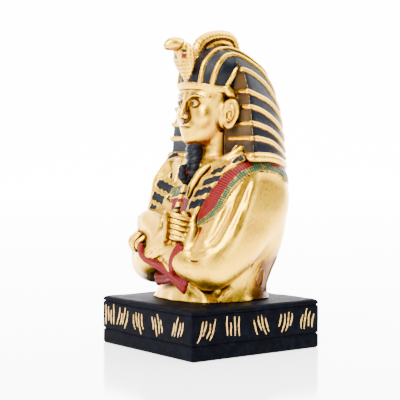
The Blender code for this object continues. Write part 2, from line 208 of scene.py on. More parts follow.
# The figure is one casting. It is modelled as clay: distances from points in space to a shape that
# is built up form by form, each with its paint. The cloak over the torso is the first form: a broad
# smooth body that widens to the shoulders and flares a little at its wavy hem.
FAR = 6.0
PAINTS = ("dark", "red", "green", "brown")


def line_through(stations, steps=6):
    """A smooth curve through the stations. Further columns, such as radii, go with it."""
    s = np.array(stations, float)
    ends = np.vstack([2 * s[0] - s[1], s, 2 * s[-1] - s[-2]])
    out = []
    for a, b, c, d in zip(ends, ends[1:], ends[2:], ends[3:]):
        for t in np.arange(steps) / steps:
            bend = 2 * a - 5 * b + 4 * c - d + t * (3 * b - a - 3 * c + d)
            out.append(b + 0.5 * t * (c - a + t * bend))
    out.append(s[-1])
    return np.array(out, np.float32)


def merged(d, e, blend):
    """The smaller of two distances, rounded over a width where they meet."""
    h = np.clip(0.5 + 0.5 * (d - e) / blend, 0, 1)
    return d + (e - d) * h - blend * h * (1 - h)


class Clay:
    """Many points, in millimetres, with their distance to the shape so far and the paint there."""

    def __init__(self, points, reach, painted=False):
        self.order = np.argsort(points[:, 2], kind="stable")
        self.p = np.ascontiguousarray(points[self.order], dtype=np.float32)
        self.z = np.ascontiguousarray(self.p[:, 2])
        self.x = np.ascontiguousarray(self.p[:, 0])
        self.y = np.ascontiguousarray(self.p[:, 1])
        self.reach = reach
        self.d = np.full(len(self.p), max(FAR, reach * 1.5), np.float32)
        names = PAINTS if painted else ()
        self.paint = {name: np.full(len(self.p), -FAR, np.float32) for name in names}
        self.rib_run = np.zeros(len(self.p), np.float32)

    def near(self, low, high, blend=0.0, both=False):
        """The points in or near a box, as numbers and as places. With both, places are folded onto +X."""
        m = self.reach + blend
        first, last = np.searchsorted(self.z, (low[2] - m, high[2] + m))
        x, y = self.x[first:last], self.y[first:last]
        if both:
            x = np.abs(x)
        keep = (x > low[0] - m) & (x < high[0] + m) & (y > low[1] - m) & (y < high[1] + m)
        at = first + np.flatnonzero(keep)
        q = self.p[at]
        if both:
            q[:, 0] = np.abs(q[:, 0])
        return at, q

    def join(self, at, e, blend=0.0, **paint):
        """Adds a form given by its distances e. Where it shows, its own paint takes over."""
        d = self.d[at]
        if self.paint:
            lead = d - e
            for name, old in self.paint.items():
                mine = np.float32(-FAR) if name not in paint else paint[name]
                old[at] = np.maximum(np.minimum(mine, lead), np.minimum(old[at], -lead))
        self.d[at] = merged(d, e, np.maximum(blend, 1e-4))

    def carve(self, at, e, blend=0.4):
        """Takes away a form given by its distances e."""
        self.d[at] = -merged(-self.d[at], e, blend)

    def tint(self, name, at, signed):
        """Paints where signed, a distance in millimetres into the painted area, is over zero."""
        if self.paint:
            for other, old in self.paint.items():
                old[at] = np.maximum(old[at], signed) if other == name else np.minimum(old[at], -signed)

    def tube(self, stations, blend=0.0, steps=4, both=False):
        """A round strand along stations of x, y, z and radius."""
        line = line_through(stations, steps)
        pad = line[:, 3].max()
        at, q = self.near(line[:, :3].min(0) - pad, line[:, :3].max(0) + pad, blend, both)
        if len(at):
            self.join(at, along(q, line)[0], blend)

    def fold(self, stations, height, width, both=False):
        """Raises the surface along a line, or sinks it where height is below zero, fading at both ends."""
        line = line_through([(*s, 0.0) for s in stations], 4)
        pad = 2.2 * width
        at, q = self.near(line[:, :3].min(0) - pad, line[:, :3].max(0) + pad, 0, both)
        if len(at):
            gap, run, _ = along(q, line)
            total = run_of(line)[-1]
            ends = np.clip(np.minimum(run, total - run) / (0.3 * total), 0, 1)
            self.d[at] -= height * np.exp(-((gap / width) ** 2)) * ends

    def blob(self, centre, half, blend=0.0, both=False, carve=False, **paint):
        """An ellipsoid."""
        centre, half = np.float32(centre), np.float32(half)
        at, q = self.near(centre - half, centre + half, blend, both)
        if len(at):
            q = q - centre
            k0 = np.sqrt(((q / half) ** 2).sum(1))
            k1 = np.sqrt(((q / half**2) ** 2).sum(1)) + 1e-6
            e = k0 * (k0 - 1) / k1
            if carve:
                self.carve(at, e, blend)
            else:
                self.join(at, e, blend, **paint)

    def out(self, values):
        """Values in the order in which the points were given."""
        back = np.empty_like(values)
        back[self.order] = values
        return back


def along(q, line):
    """Distance to a tapering strand, and how far along it and from its middle line each point is."""
    best = np.full(len(q), 99.0, np.float32)
    run = np.zeros(len(q), np.float32)
    off = np.zeros(len(q), np.float32)
    start = 0.0
    for a, b in zip(line, line[1:]):
        ab = b[:3] - a[:3]
        length = float(np.sqrt(ab @ ab)) + 1e-9
        rel = q - a[:3]
        t = np.clip(rel @ (ab / length**2), 0, 1)
        rel = rel - t[:, None] * ab
        gap = np.sqrt((rel * rel).sum(1))
        e = gap - (a[3] + (b[3] - a[3]) * t)
        closer = e < best
        best = np.where(closer, e, best)
        run = np.where(closer, start + t * length, run)
        off = np.where(closer, gap, off)
        start += length
    return best, run, off


def run_of(line):
    """How far along the line each of its points is."""
    steps = np.sqrt((np.diff(line[:, :3], axis=0) ** 2).sum(1))
    return np.concatenate([[0.0], np.cumsum(steps)])


def at_height(z, heights, values):
    """Values read from a table by height, or by depth."""
    return np.interp(z, heights, values).astype(np.float32)


def loft(q, table, centre_y, power, lean=None):
    """Distance to a body given by levels of height, half width, front and back."""
    z = q[:, 2]
    slopes = np.gradient(table, table[:, 0], axis=0)
    half, front, back = (at_height(z, table[:, 0], table[:, k]) for k in (1, 2, 3))
    d_half, d_front, d_back = (at_height(z, table[:, 0], slopes[:, k]) for k in (1, 2, 3))
    middle = centre_y if lean is None else at_height(z, *lean.T)
    y = q[:, 1] - middle
    behind = y > 0
    deep = np.where(behind, back - middle, middle - front)
    d_deep = np.where(behind, d_back, -d_front)
    ux = np.abs(q[:, 0]) / half + 1e-5
    uy = np.abs(y) / deep + 1e-5
    px, py = ux**power, uy**power
    level = (px + py) ** (1 / power)
    scale = level ** (1 - power)
    gx, gy = scale * px / ux / half, scale * py / uy / deep
    flat = np.sqrt(gx * gx + gy * gy + 1e-9)
    gz = scale * (px * d_half / half + py * d_deep / deep)
    return (level - 1) / np.hypot(flat, np.minimum(np.abs(gz), 2.5 * flat))


TORSO = line_through([
    (20, 26.2, -23.6, 24), (23.5, 26.2, -23.6, 24), (26, 25.4, -22.4, 24), (30, 24.8, -21, 24.8),
    (35, 25.2, -20.4, 27.2), (41, 26.8, -20.6, 29.8), (47, 29, -21.2, 31.4), (53, 31, -21.2, 32.5),
    (59, 32.4, -20.4, 33.1), (65, 33.2, -18.6, 33.4), (71, 33.6, -16, 33.5), (77, 33.6, -13, 33.5),
    (81, 33.2, -10.8, 33), (84.5, 32.2, -9.2, 31.8), (87, 30.6, -8.2, 30), (89, 27, -7, 27),
    (91, 18, -5, 20), (92.6, 5, 0, 8),
], 6)


SCRATCHES = (
    [(5.8, 41.7), (4.6, 36), (2.8, 28.6)], [(10.6, 38.4), (9, 33.6), (9.8, 30.8)],
    [(13.2, 36.6), (13.4, 32), (11.8, 29.8)], [(22.8, 43), (19.4, 35.4), (16.4, 27.4)],
)


def cloak(clay):
    at, q = clay.near((-35, -26, 20), (35, 35, 93), 4)
    e = loft(q, TORSO, 4, 2.8)
    turn = np.arctan2(q[:, 0], -(q[:, 1] - 2))
    low = np.clip((30 - q[:, 2]) / 6, 0, 1)
    e -= (0.45 * np.sin(turn * 9 + 0.6) + 0.25 * np.sin(turn * 17)) * low
    clay.join(at, np.maximum(e, q[:, 2] - 92.6))
    at, q = clay.near((14, 0, 24), (30, 28, 46))
    for scratch in SCRATCHES:
        line = line_through([(0, y, z, 0) for y, z in scratch], 4)
        gap = along(q * np.float32([0, 1, 1]), line)[2] if len(at) else 0.0
        clay.d[at] -= 0.5 * np.exp(-((gap / 0.5) ** 2))


# The arms are folded inside wide sleeves of the same cloth. They are thick at the shoulder and
# elbow, blended into the torso above and standing clear of it below, with long soft folds.
SLEEVES = (
    [
        (22, 5, 77, 9.8), (24, -2, 68, 11), (24.3, -8, 58, 11.5), (23.8, -13.5, 48, 11.3),
        (22.4, -17, 41.6, 10.6),
    ],
    [
        (20, 15, 71, 12.5), (22, 8.5, 62, 12.6), (23.3, -0.5, 52.5, 12.2), (23, -9, 44.5, 11.4),
        (22.4, -15.5, 41, 10.6),
    ],
)
LEFT_FOREARM = [
    (22.4, -16.5, 41.3, 10.5), (17, -20.5, 42.4, 9.6), (11, -23, 44.4, 8.2), (4, -24.6, 47.6, 6.6),
    (-3, -25.8, 52, 5.4),
]
RIGHT_FOREARM = [
    (-22.4, -16.8, 41.2, 10.5), (-16, -21.6, 42.4, 9.4), (-9, -24.4, 45, 8), (-2.5, -25.6, 48.4, 6.6),
    (3.5, -26, 53, 5.4), (7, -25.4, 57, 4.6),
]
FOLDS = (
    (
        1.9, 2,
        [
            (30.5, 6, 84), (33.4, 1.5, 80), (34.5, -2.6, 73.9), (35.3, -7.4, 64.9), (35.3, -13.3, 52.5),
            (33.5, -17, 46),
        ],
    ),
    (
        -2.1, 1.7,
        [(32.4, 0, 81.4), (34, -8.1, 69.5), (33.4, -16.3, 57.4), (32.6, -19.6, 52), (29, -23.5, 48)],
    ),
    (1.5, 1.6, [(33, -10, 70.5), (32.6, -14.5, 63), (31.6, -18.6, 56.5), (29, -22, 51.5)]),
    (-1.8, 1.5, [(31.3, -10.8, 71.5), (31.3, -16.4, 61.9), (30.6, -19.9, 56), (27.5, -22.6, 51.5)]),
    (-1.2, 1.2, [(35, -4, 74), (35.8, -8.6, 63), (35.6, -12.6, 55)]),
    (-0.9, 0.7, [(17.6, -26.3, 49.1), (22, -26.6, 48.4), (26.6, -25.4, 48.4), (31.1, -22, 50.2)]),
    (-0.8, 0.7, [(19.2, -27.5, 47.4), (24, -27, 46.6), (27.3, -25.9, 46.6), (31.1, -23.1, 47.8)]),
    (-0.6, 0.7, [(20, -28, 44.4), (25, -27, 43.9), (28.5, -25, 44.4)]),
    (-0.3, 0.8, [(17, -29, 42.5), (21, -28.4, 41.4), (26, -26.4, 41.6)]),
    (-0.3, 0.8, [(17.6, -28, 38.8), (22, -26.8, 37.4), (27, -24.2, 37.6)]),
)
ROBE_FOLDS = (
    (1.5, 1.5, [(9, -20.6, 35.5), (12, -20.2, 32.6), (16.4, -18.1, 28.9), (20.5, -16.8, 24.4)]),
    (1.4, 1.4, [(24.3, -4.9, 30.4), (23.6, -8.6, 28.5), (23.6, -10.2, 26.5), (23.4, -12, 24)]),
    (-1.2, 1.8, [(19.4, -14.8, 32), (21.6, -12.6, 29), (22.4, -12.2, 25.6)]),
    (0.5, 1, [(-4, -24, 35), (-2, -23.4, 30), (-1, -23.6, 25)]),
    (0.5, 1.2, [(28, 12, 44), (27.4, 11, 34), (27, 10, 26)]),
    (-0.5, 1.2, [(25, 20, 44), (24, 18.5, 34), (23, 18, 26)]),
)


def sleeves(clay):
    parts = [line_through(line, 4) for line in SLEEVES]
    at, q = clay.near((8, -29, 30), (37, 29, 90), 5, both=True)
    e = merged(*(along(q, line)[0] for line in parts), 5)
    clay.join(at, e, np.interp(q[:, 2], [46, 66], [0.6, 5]).astype(np.float32))
    clay.tube(LEFT_FOREARM, blend=1.2)
    clay.tube(RIGHT_FOREARM, blend=1.2)
    for height, width, stations in FOLDS:
        clay.fold(stations, height, width, both=True)
    for height, width, stations in ROBE_FOLDS:
        clay.fold(stations, height, width)
    cuff = [
        (-11, 46), (-9, 43), (-3.6, 41.2), (1.5, 39.8), (5.3, 36.9), (8.2, 38.6), (10.4, 43),
        (10.2, 47.6), (4, 51.5), (-4, 51.5),
    ]
    plate(clay, cuff, -26.6, (0.10, -1, -0.10), 3.2, 1.6, 0.6)
    for k in range(15):
        x, z = -10.0 + 1.25 * k, 44.6 + 2.6 * math.sin(k * 2.3)
        line = line_through([
            (x - 1.2, 0, z - 1, 0.10), (x + 1.2, 0, z + 0.8, 0.16), (x + 3.6, 0, z + 1.6, 0.10),
        ], 2)
        at, q = clay.near((x - 3, -33, z - 3), (x + 5, -25, z + 4))
        scratch = along(q * [1, 0, 1], line)[0]
        clay.d[at] += 0.2 * np.exp(-np.maximum(scratch, 0) / 0.3)
        clay.tint("brown", at, -scratch)


def polygon(a, b, corners):
    """Distance to a polygon in a plane, below zero inside it."""
    nearest, inside = np.full(len(a), 1e9, np.float32), np.zeros(len(a), bool)
    for (x0, y0), (x1, y1) in zip(corners, np.roll(corners, -1, 0)):
        ex, ey = x1 - x0, y1 - y0
        t = np.clip(((a - x0) * ex + (b - y0) * ey) / (ex * ex + ey * ey + 1e-9), 0, 1)
        nearest = np.minimum(nearest, (a - x0 - t * ex) ** 2 + (b - y0 - t * ey) ** 2)
        if y0 != y1:
            inside ^= ((y0 <= b) != (y1 <= b)) & (a < (x1 - x0) * (b - y0) / (y1 - y0) + x0)
    return np.where(inside, -1, 1) * np.sqrt(nearest)


def plate(clay, outline, middle, facing, thick, edge, blend, both=False):
    """A rounded plate with an outline of x and z, seen from the front, leaning to face a direction."""
    closed = line_through([*outline, outline[0], outline[1]], 3)[:-3]
    out = np.float32(facing) / np.linalg.norm(facing)
    low, high = closed.min(0), closed.max(0)
    reach = thick + 3
    box = (low[0] - 1, middle - reach, low[1] - 1), (high[0] + 1, middle + reach, high[1] + 1)
    at, q = clay.near(*box, blend, both)
    if len(at):
        centre = np.float32([(low[0] + high[0]) / 2, middle, (low[1] + high[1]) / 2])
        h = np.abs((q - centre) @ out) - thick + edge
        r = polygon(q[:, 0], q[:, 2], closed) + edge
        outside = np.sqrt(np.maximum(r, 0) ** 2 + np.maximum(h, 0) ** 2)
        e = outside + np.minimum(np.maximum(r, h), 0) - edge
        clay.join(at, e.astype(np.float32), blend)


# The hands are closed fists: the figure's right one, in front, grips an upright rod, and the left
# one lies flat on the far side of the chest, over the end of a fluted sceptre.
def hands(clay):
    back = [
        (-17.5, 65.4), (-8, 65), (1.6, 62.6), (1, 56.7), (-1.6, 51.6), (-11.8, 49.6), (-19.6, 52.2),
        (-23.4, 58), (-21.8, 63),
    ]
    plate(clay, back, -24.8, (-0.10, -1, 0.12), 4, 2.8, 2.2)
    clay.fold([(-22, -28.4, 63.4), (-15, -29, 60.6), (-8, -29, 56.8), (-2, -28.6, 52)], 1.1, 3)
    for z in (61.8, 59.2, 56.6, 54.2):
        clay.tube([
            (-20, -26.4, z, 1.3), (-22.6, -25.2, z - 0.4, 1.4), (-22.6, -22.6, z - 0.6, 1.4),
        ], blend=0.9)
    wedge = [(4.6, 66), (2.4, 61.6), (-0.4, 57), (0, 53.2), (3.4, 51.6), (8, 52.6), (9.4, 65.8)]
    plate(clay, wedge, -26.6, (-0.70, -1, 0.05), 3, 1, 0.5)
    clay.blob((11.5, -24, 59.8), (3.6, 2.6, 6.6), 0.5)
    for row in (65.2, 62.6, 60, 57.4, 55):
        finger = [
            (7.4, -28.4, row, 1.25), (9.6, -29.2, row - 0.4, 1.45), (12.2, -28.3, row - 1.1, 1.45),
            (14.2, -26.2, row - 2, 1.3), (14.4, -23, row - 3, 1.2),
        ]
        clay.tube(finger, blend=0.35)
    clay.tube([(15.8, -21.2, 61, 1.2), (17, -22.4, 56.5, 2.4), (16.2, -24, 51, 3)], 2)


# A broad collar of small beads in rows lies on the chest and shoulders: a green band outside, a
# red one inside it and another green one at the neck, with a thin raised gold edge.
COLLAR_EDGE = [
    (0, -22.8, 62), (8, -23, 60), (15.8, -21.8, 58.8), (20, -20.8, 59.4), (24.1, -19.6, 61.4),
    (27.2, -17.3, 64), (28.8, -14.8, 67.4), (29.6, -11.8, 72.5), (30.4, -8.4, 77.2), (31.4, -4.6, 80.8),
    (32.2, 0.6, 83.4), (32.6, 6, 84.3), (32.4, 11, 84.1), (31.4, 17, 82.6), (30.6, 22, 79),
    (24, 28.5, 76.6), (12.5, 34, 73), (0, 35.5, 72),
]


def collar(clay):
    line = line_through([(*p, 0) for p in COLLAR_EDGE], 4)
    at, q = clay.near((-34, -26, 56), (34, 37, 93), both=True)
    _, run, off = along(q, line)
    centre = np.float32([0, 4, 93])
    nearest = np.stack([np.interp(run, run_of(line), line[:, k]) for k in range(3)], 1).astype(np.float32)
    inside = ((q - nearest) * (centre - nearest)).sum(1) > 0
    c = np.where(inside, off, -off)
    on = np.clip(c / 0.4, 0, 1) * np.clip((19 - c) / 0.5, 0, 1)
    edges = np.exp(-((c - 0.45) ** 2) / 0.12) + np.exp(-((c - 12.6) ** 2) / 0.1)
    step = 0.25 * np.clip((c - 3.1) / 0.5, 0, 1)
    clay.d[at] -= (on * (0.55 + 0.25 * edges + step)).astype(np.float32)
    over = 5.5 - np.abs(q[:, 1] - 7)
    middle = np.minimum(c - 3.4, 12.2 - c)
    clay.tint("green", at, np.maximum(np.minimum(c - 0.7, 3.4 - c), np.minimum(middle, over)))
    clay.tint("red", at, np.minimum(middle, -over))
    clay.tint("green", at, np.minimum(np.minimum(c - 12.9, 18.5 - c), 80.0 - q[:, 2]))
    clay.rib_run[at] = run


# The lappets of the headcloth lie over the chest in two broad strips with rolled gold hems. Dark
# patches are painted between their gold bars.
LAPPETS = (
    (
        1, 0.25,
        [
            (27.2, -0.8, 91.4, 3.6), (23.6, -4.5, 89, 4.2), (18.8, -8, 85.2, 4.7), (15.9, -11.5, 80.4, 5),
            (14.2, -14.9, 75, 4.7), (13.3, -17.5, 70, 4.3), (12.8, -19.9, 65.4, 4.1),
            (12.6, -21.2, 62, 3.9),
        ],
        [
            (13.6, -7.6, 88.2, 0.9), (10.8, -8.8, 86.8, 1.6), (8.4, -10.8, 83.8, 2.3),
            (7.2, -13, 80.2, 2.4), (6.6, -15.2, 76.8, 2), (6.4, -17, 73, 1.2),
        ],
        [
            (27.6, 90.6, 2.2, 1.9), (19.6, 85.2, 4, 1.6), (17.5, 80.2, 4.3, 1.6), (15.2, 75, 4.3, 1.7),
            (14.2, 69.4, 3.7, 2), (16.4, 88.6, 1.3, 0.6), (9, 86.4, 1.2, 0.8),
        ],
    ),
    (
        -1, -0.35,
        [
            (26.4, -0.4, 91.6, 3.2), (23.6, -3.4, 89.2, 4.6), (20, -6.8, 85.4, 7.4),
            (16.8, -10.6, 80.6, 10), (14.8, -14.2, 75.2, 9.8), (13.8, -17, 70.2, 9.2),
            (13.2, -19.4, 65.6, 8.6), (12.8, -21, 62, 7.6),
        ],
        [
            (28.6, -1.4, 90.6, 1.3), (27, -4.6, 87, 1.7), (26.8, -9.2, 82, 2), (26, -13, 77, 1.8),
            (24.6, -15.8, 71.6, 1.4),
        ],
        [
            (13.2, 81.4, 3.8, 1.7), (15.3, 76.4, 6.2, 1.9), (16.8, 71.2, 4.4, 1.9), (7.9, 70.8, 3, 1.4),
            (16.8, 66.6, 2.6, 1.2), (26.4, 92, 2.8, 1.5), (28.6, 84.8, 1.8, 1.6), (5.4, 76, 1.3, 1),
        ],
    ),
)


def ripple(values, length):
    """Waves of a length, between -1 and 1."""
    return np.cos(values * math.tau / length)


def strip(q, line, thick, facing):
    """Distance to a flat strip, and how far to the side of its middle each point is."""
    best = np.full(len(q), 99, np.float32)
    side = np.zeros(len(q), np.float32)
    for a, b in zip(line, line[1:]):
        ab = b[:3] - a[:3]
        length = float(np.sqrt(ab @ ab)) + 1e-9
        axis = ab / length
        out = np.float32(facing((a[:3] + b[:3]) / 2))
        out = out - axis * (out @ axis)
        out = out / np.sqrt(out @ out)
        rel = q - a[:3]
        s, w, h = rel @ axis, rel @ np.cross(out, axis), rel @ out
        t = np.clip(s / length, 0, 1)
        beyond = np.maximum(np.maximum(-s, s - length), 0)
        dx = np.abs(w) - (a[3] + (b[3] - a[3]) * t) + thick
        r = np.sqrt(np.maximum(dx, 0) ** 2 + h * h + beyond**2) - thick
        side = np.where(r < best, w, side)
        best = np.minimum(r, best)
    return best, side


def lappets(clay):
    for side, turn, strand, hem, patches in LAPPETS:
        line = line_through(strand, 4)
        low, high = (2, -25, 57), (35, 6, 96)
        if side < 0:
            low, high = (-35, -25, 57), (-2, 6, 96)
        at, q = clay.near(low, high, 0.8)
        if not len(at):
            continue
        q[:, 0] *= side
        e, across = strip(q, line, 1.5, lambda p: (p[0] * turn, p[1] - 5, p[2] * 0.45 - 21))
        patch = np.full(len(q), -FAR, np.float32)
        for x, z, half, tall in patches:
            u, v = q[:, 0] - x, q[:, 2] - z - 0.3 * (q[:, 0] - x)
            r = np.hypot(np.maximum(np.abs(u) - half + 1, 0), np.maximum(np.abs(v) - tall + 1, 0)) - 1.0
            patch = np.maximum(patch, 0.25 * np.sin(u * 1.9 + z) + 0.15 * np.sin(v * 2.6 + x) - r)
        body = ripple(q[:, 2] - 0.3 * q[:, 0] - 77.8, 5.2) * np.clip(1.6 - np.abs(across) / 5, 0, 1)
        e = e - 0.2 * body + 0.4 * np.clip(patch * 1.6 + 0.4, 0, 1)
        clay.join(at, e.astype(np.float32), 0.8, dark=patch.astype(np.float32))
        clay.tube([(x * side, y, z, r) for x, y, z, r in hem], 1)
    clay.tube([
        (24.4, 0.4, 95.2, 1.5), (22.4, -3.4, 92.2, 1.8), (19, -6.4, 89.6, 1.7), (14.6, -8.4, 87.8, 1.2),
    ], 1.8)
    clay.tube([(16.2, 0.2, 91.6, 0.9), (18.4, 0.4, 94, 1.1), (20.4, 0.6, 96, 0.9)], 0.4)
    at, q = clay.near((12, -2, 90), (21, 4, 99), both=True)
    shade = np.minimum(q[:, 2] - 94.6 + 0.3 * (q[:, 0] - 14), 97.8 - q[:, 2])
    clay.tint("dark", at, np.minimum(shade, 18.4 - q[:, 0]))


# The head is a plain, calm one on even thirds, with painted eyes, and is the same gold as the cloak.
# The neck is short and broad.
HEAD = line_through([
    (95.6, 3, -8.5, 1), (96.6, 5.6, -11, 4), (98.4, 7.6, -12.9, 6), (101.5, 9.9, -13.7, 8.5),
    (105.5, 11.7, -13.9, 10.5), (110.5, 13.2, -13.8, 12), (116.5, 14.2, -13.6, 13),
    (121.5, 14.6, -13.5, 14), (126.5, 14.6, -13, 14), (130, 14, -12.4, 14),
], 5)
EYE = (5.6, -12.3, 116.6)


def head(clay):
    at, q = clay.near((-14, -13, 82), (14, 12, 100), 2)
    table = np.float32(
        [(80, 13.5, -11.4, 11.5), (88, 11.6, -8.8, 10), (94, 10.8, -6.6, 9), (104, 10.8, -6.6, 9)]
    )
    clay.join(at, loft(q, line_through(table, 4), -0.5, 2), 2.4)
    at, q = clay.near((-15, -15, 95), (15, 14, 130), 2)
    e = loft(q, HEAD, -1, 2.25)
    clay.join(at, np.maximum(np.maximum(e, 95.6 - q[:, 2]), q[:, 2] - 130), 1.6)
    clay.blob((7, -10.2, 110.2), (4.4, 2.9, 4.4), 3, both=True)
    clay.blob((0, -12.2, 100.6), (3.6, 2.6, 2.9), 2.4)
    clay.blob((0, -12.6, 105.2), (5.4, 2.2, 3.4), 2.4)
    clay.blob((EYE[0], -14.7, 116.9), (3.5, 1.9, 2.1), 1.8, both=True, carve=True)
    clay.tube([
        (1.4, -13.4, 119.2, 0.8), (4.6, -13.3, 120.4, 0.8), (8.6, -11.7, 120.3, 0.7),
        (11.4, -9.2, 118.8, 0.5),
    ], 1.6, both=True)


def nose(clay):
    clay.tube([
        (0, -13.2, 120.2, 1.3), (0, -14.4, 117, 1.2), (0, -15.6, 113.4, 1.3), (0, -16.6, 110.9, 1.55),
    ], 1.3)
    clay.blob((0, -16.7, 110.7), (1.6, 1.5, 1.45), 0.8)
    clay.blob((1.85, -15.1, 110.2), (1.1, 1.5, 1.2), 0.7, both=True)
    clay.blob((0.95, -15.9, 108.8), (0.4, 0.6, 0.35), 0.3, both=True, carve=True)


def mouth(clay):
    clay.tube([
        (0, -14.8, 106.2, 0.6), (1.1, -14.9, 106.5, 0.75), (2.7, -14.3, 106.1, 0.6),
        (3.9, -13.5, 105.6, 0.35),
    ], 0.6, both=True)
    clay.tube([(0, -14.6, 104.2, 1), (1.8, -14.3, 104.3, 0.9), (3.4, -13.5, 105, 0.45)], 0.7, both=True)
    at, q = clay.near((0, -17, 104.5), (4.3, -12.5, 106.2), 0.3, both=True)
    lips = line_through([(0, -15.5, 105.15, 0.28), (2.2, -15, 105.3, 0.26), (4, -13.9, 105.45, 0.2)], 3)
    clay.carve(at, along(q, lips)[0], 0.3)
    clay.blob((0, -14.9, 107.9), (0.5, 0.7, 0.9), 0.5, carve=True)


def eyes(clay):
    clay.blob(EYE, (2.5, 1.7, 1.6), 0.2, both=True)
    upper = [
        (3.2, -13.2, 116.3, 0.25), (4.4, -13.9, 117.3, 0.42), (5.7, -14.1, 117.7, 0.46),
        (7.1, -13.6, 117.4, 0.42), (8.3, -12.7, 116.4, 0.3),
    ]
    lower = [
        (3.2, -13.2, 116.3, 0.22), (4.5, -13.6, 115.5, 0.28), (5.8, -13.7, 115.3, 0.3),
        (7.1, -13.2, 115.6, 0.28), (8.3, -12.7, 116.4, 0.25),
    ]
    clay.tube(upper, 0.3, both=True)
    clay.tube(lower, 0.3, both=True)
    at, q = clay.near((1, -16, 112), (13, -8, 123), both=True)
    iris = 0.95 - np.hypot(q[:, 0] - EYE[0], q[:, 2] - 116.5)
    lash = [(x, 0, z, 0.22) for x, _, z, _ in upper] + [(10.2, 0, 115.9, 0.16)]
    brow = [(2.2, 0, 119.5, 0.2), (5.2, 0, 120.8, 0.34), (8.8, 0, 120.4, 0.3), (11.4, 0, 118.6, 0.15)]
    lash, brow = (along(q * [1, 0, 1], line_through(line, 4))[0] for line in (lash, brow))
    clay.tint("dark", at, np.minimum(iris, 117.5 - q[:, 2]))
    clay.tint("brown", at, np.maximum(-lash, -brow))


def ears(clay):
    outline = [
        (15.4, 112.6), (16, 115.6), (18, 117.4), (20.6, 117), (22.2, 114.4), (21.9, 111), (20.3, 108),
        (18.2, 105.6), (16.2, 105.6), (15.2, 109),
    ]
    plate(clay, outline, -1, (0.35, -1, 0), 1.1, 0.9, 0.5, both=True)
    clay.blob((13.6, -1.6, 111.4), (2.8, 3.4, 7), 1.6, both=True)

    def placed(across, up, out, radius):
        return (18.7 + 0.94 * across + 0.33 * out, -1.0 + 0.33 * across - 0.94 * out, 111.4 + up, radius)

    rim = [
        (-3.2, 1.8, 1, 0.7), (-2.6, 4.6, 0.8, 0.9), (-0.4, 6, 0.8, 1), (2.3, 5.4, 0.8, 1.05),
        (3.7, 2.8, 0.8, 1.05), (3.4, -0.6, 0.8, 1), (1.8, -3.6, 0.9, 1), (-0.6, -5.6, 0.8, 1.5),
        (-2.6, -5.2, 0.6, 1.1),
    ]
    inner = [
        (0.2, 3.6, 1, 0.6), (1.5, 1.4, 1, 0.7), (1.2, -1.2, 1, 0.7), (-0.6, -3, 1, 0.7),
        (-2.4, -2.6, 1, 0.5),
    ]
    clay.tube([placed(*p) for p in rim], 0.5, both=True)
    clay.tube([placed(*p) for p in inner], 0.4, both=True)
    clay.tube([
        placed(-2.9, 0.8, 0.9, 0.6), placed(-2.5, -0.8, 1.3, 0.8), placed(-3, -2.2, 0.9, 0.6),
    ], 0.4, both=True)
    clay.blob(placed(-0.6, -0.4, 1.4, 0)[:3], (1.5, 1.1, 2), 0.5, both=True, carve=True)


# The striped headcloth: a dome over the brow with raised gold ribs, two wings that stand out behind
# the ears with flat front panels, and a rounded back. Gold bars are modelled in relief and the
# cloth between them is painted blue-black, and brown-black on the front panel of the +X wing.
BACK = line_through([
    (82.5, 31.6, 0, 32.8), (84, 32.8, 0, 33.9), (87, 33.3, 0, 34.3), (92, 33, 0, 34.2),
    (101, 32.3, 0, 34), (107, 31.3, 0, 33.2), (113, 30, 0, 32.4), (118.5, 28.4, 0, 30.8),
    (124.4, 26, 0, 29.4), (131, 22.6, 0, 26.8), (135, 19, 0, 24), (139, 14.8, 0, 20.6),
    (141.2, 11.8, 0, 18), (142.8, 8.8, 0, 15.2), (143.8, 5.6, 0, 12), (144.4, 1.6, 0, 8),
], 6)
DOME = line_through([
    (119.5, 15, -13.2, 10), (123.5, 15.8, -13.7, 10), (127.5, 16.8, -14, 10), (131, 17.8, -12.8, 10),
    (135, 17.2, -11, 10), (139, 14.4, -8.6, 10), (141.2, 11.4, -6.2, 9), (142.8, 8.2, -3.4, 8),
    (143.8, 4.8, -0.6, 7), (144.4, 1.4, 2.4, 6),
], 6)
CREST = np.float32([(80, 0.6), (107, 1), (118, 1.9), (124, 2.6), (132, 3.2), (140, 3), (147, 4)])
BARS = (
    (None, [(0, 142.6), (12, 142), (24, 140.2), (33, 137.2), (45, 133.2), (62, 129.6), (90, 127.8)]),
    (
        None,
        [
            (0, 139.6), (6, 139.1), (12, 138), (20, 135.7), (30, 131.5), (38, 127.6), (47, 123.2),
            (58, 119.2), (72, 116), (90, 114.6),
        ],
    ),
    (
        None,
        [
            (0, 132.2), (8, 130.6), (22, 126.1), (32, 121.5), (41, 117.2), (51, 113.4), (64, 110.4),
            (78, 108.6), (90, 108),
        ],
    ),
    (
        18,
        [
            (0, 121.7), (10, 119.4), (21, 117.1), (31, 113.9), (41, 110.3), (52, 106.9), (66, 103.8),
            (90, 101.8),
        ],
    ),
    (
        17,
        [
            (0, 114.5), (7, 113.2), (17, 110.6), (27, 107.7), (36, 104.4), (49, 100.8), (64, 97.8),
            (90, 96.2),
        ],
    ),
    (15.5, [(0, 106.9), (7, 105.7), (18, 103.4), (30, 99.7), (45, 95.6), (60, 93), (90, 91.6)]),
    (15, [(0, 99.9), (6, 99.5), (18, 97.8), (30, 94.6), (42, 91.8), (56, 90), (90, 89.2)]),
)
RIM = [(0, 91.2), (12, 91), (23, 90), (32, 88.8), (42, 87.6), (55, 86.6), (75, 86), (90, 85.8)]
DOME_RIBS = (
    [(30, 124.5), (30, 126.4), (28, 131.1), (28, 135), (34, 137.8), (48, 141), (68, 142.3), (90, 142.6)],
    [(51, 123.6), (51, 125.9), (51, 129.6), (53, 133.4), (60, 136.3), (72, 138.7), (90, 139.6)],
    [(76, 122.8), (78, 124.9), (82, 127.6), (85, 130.1), (89, 132.2)],
)


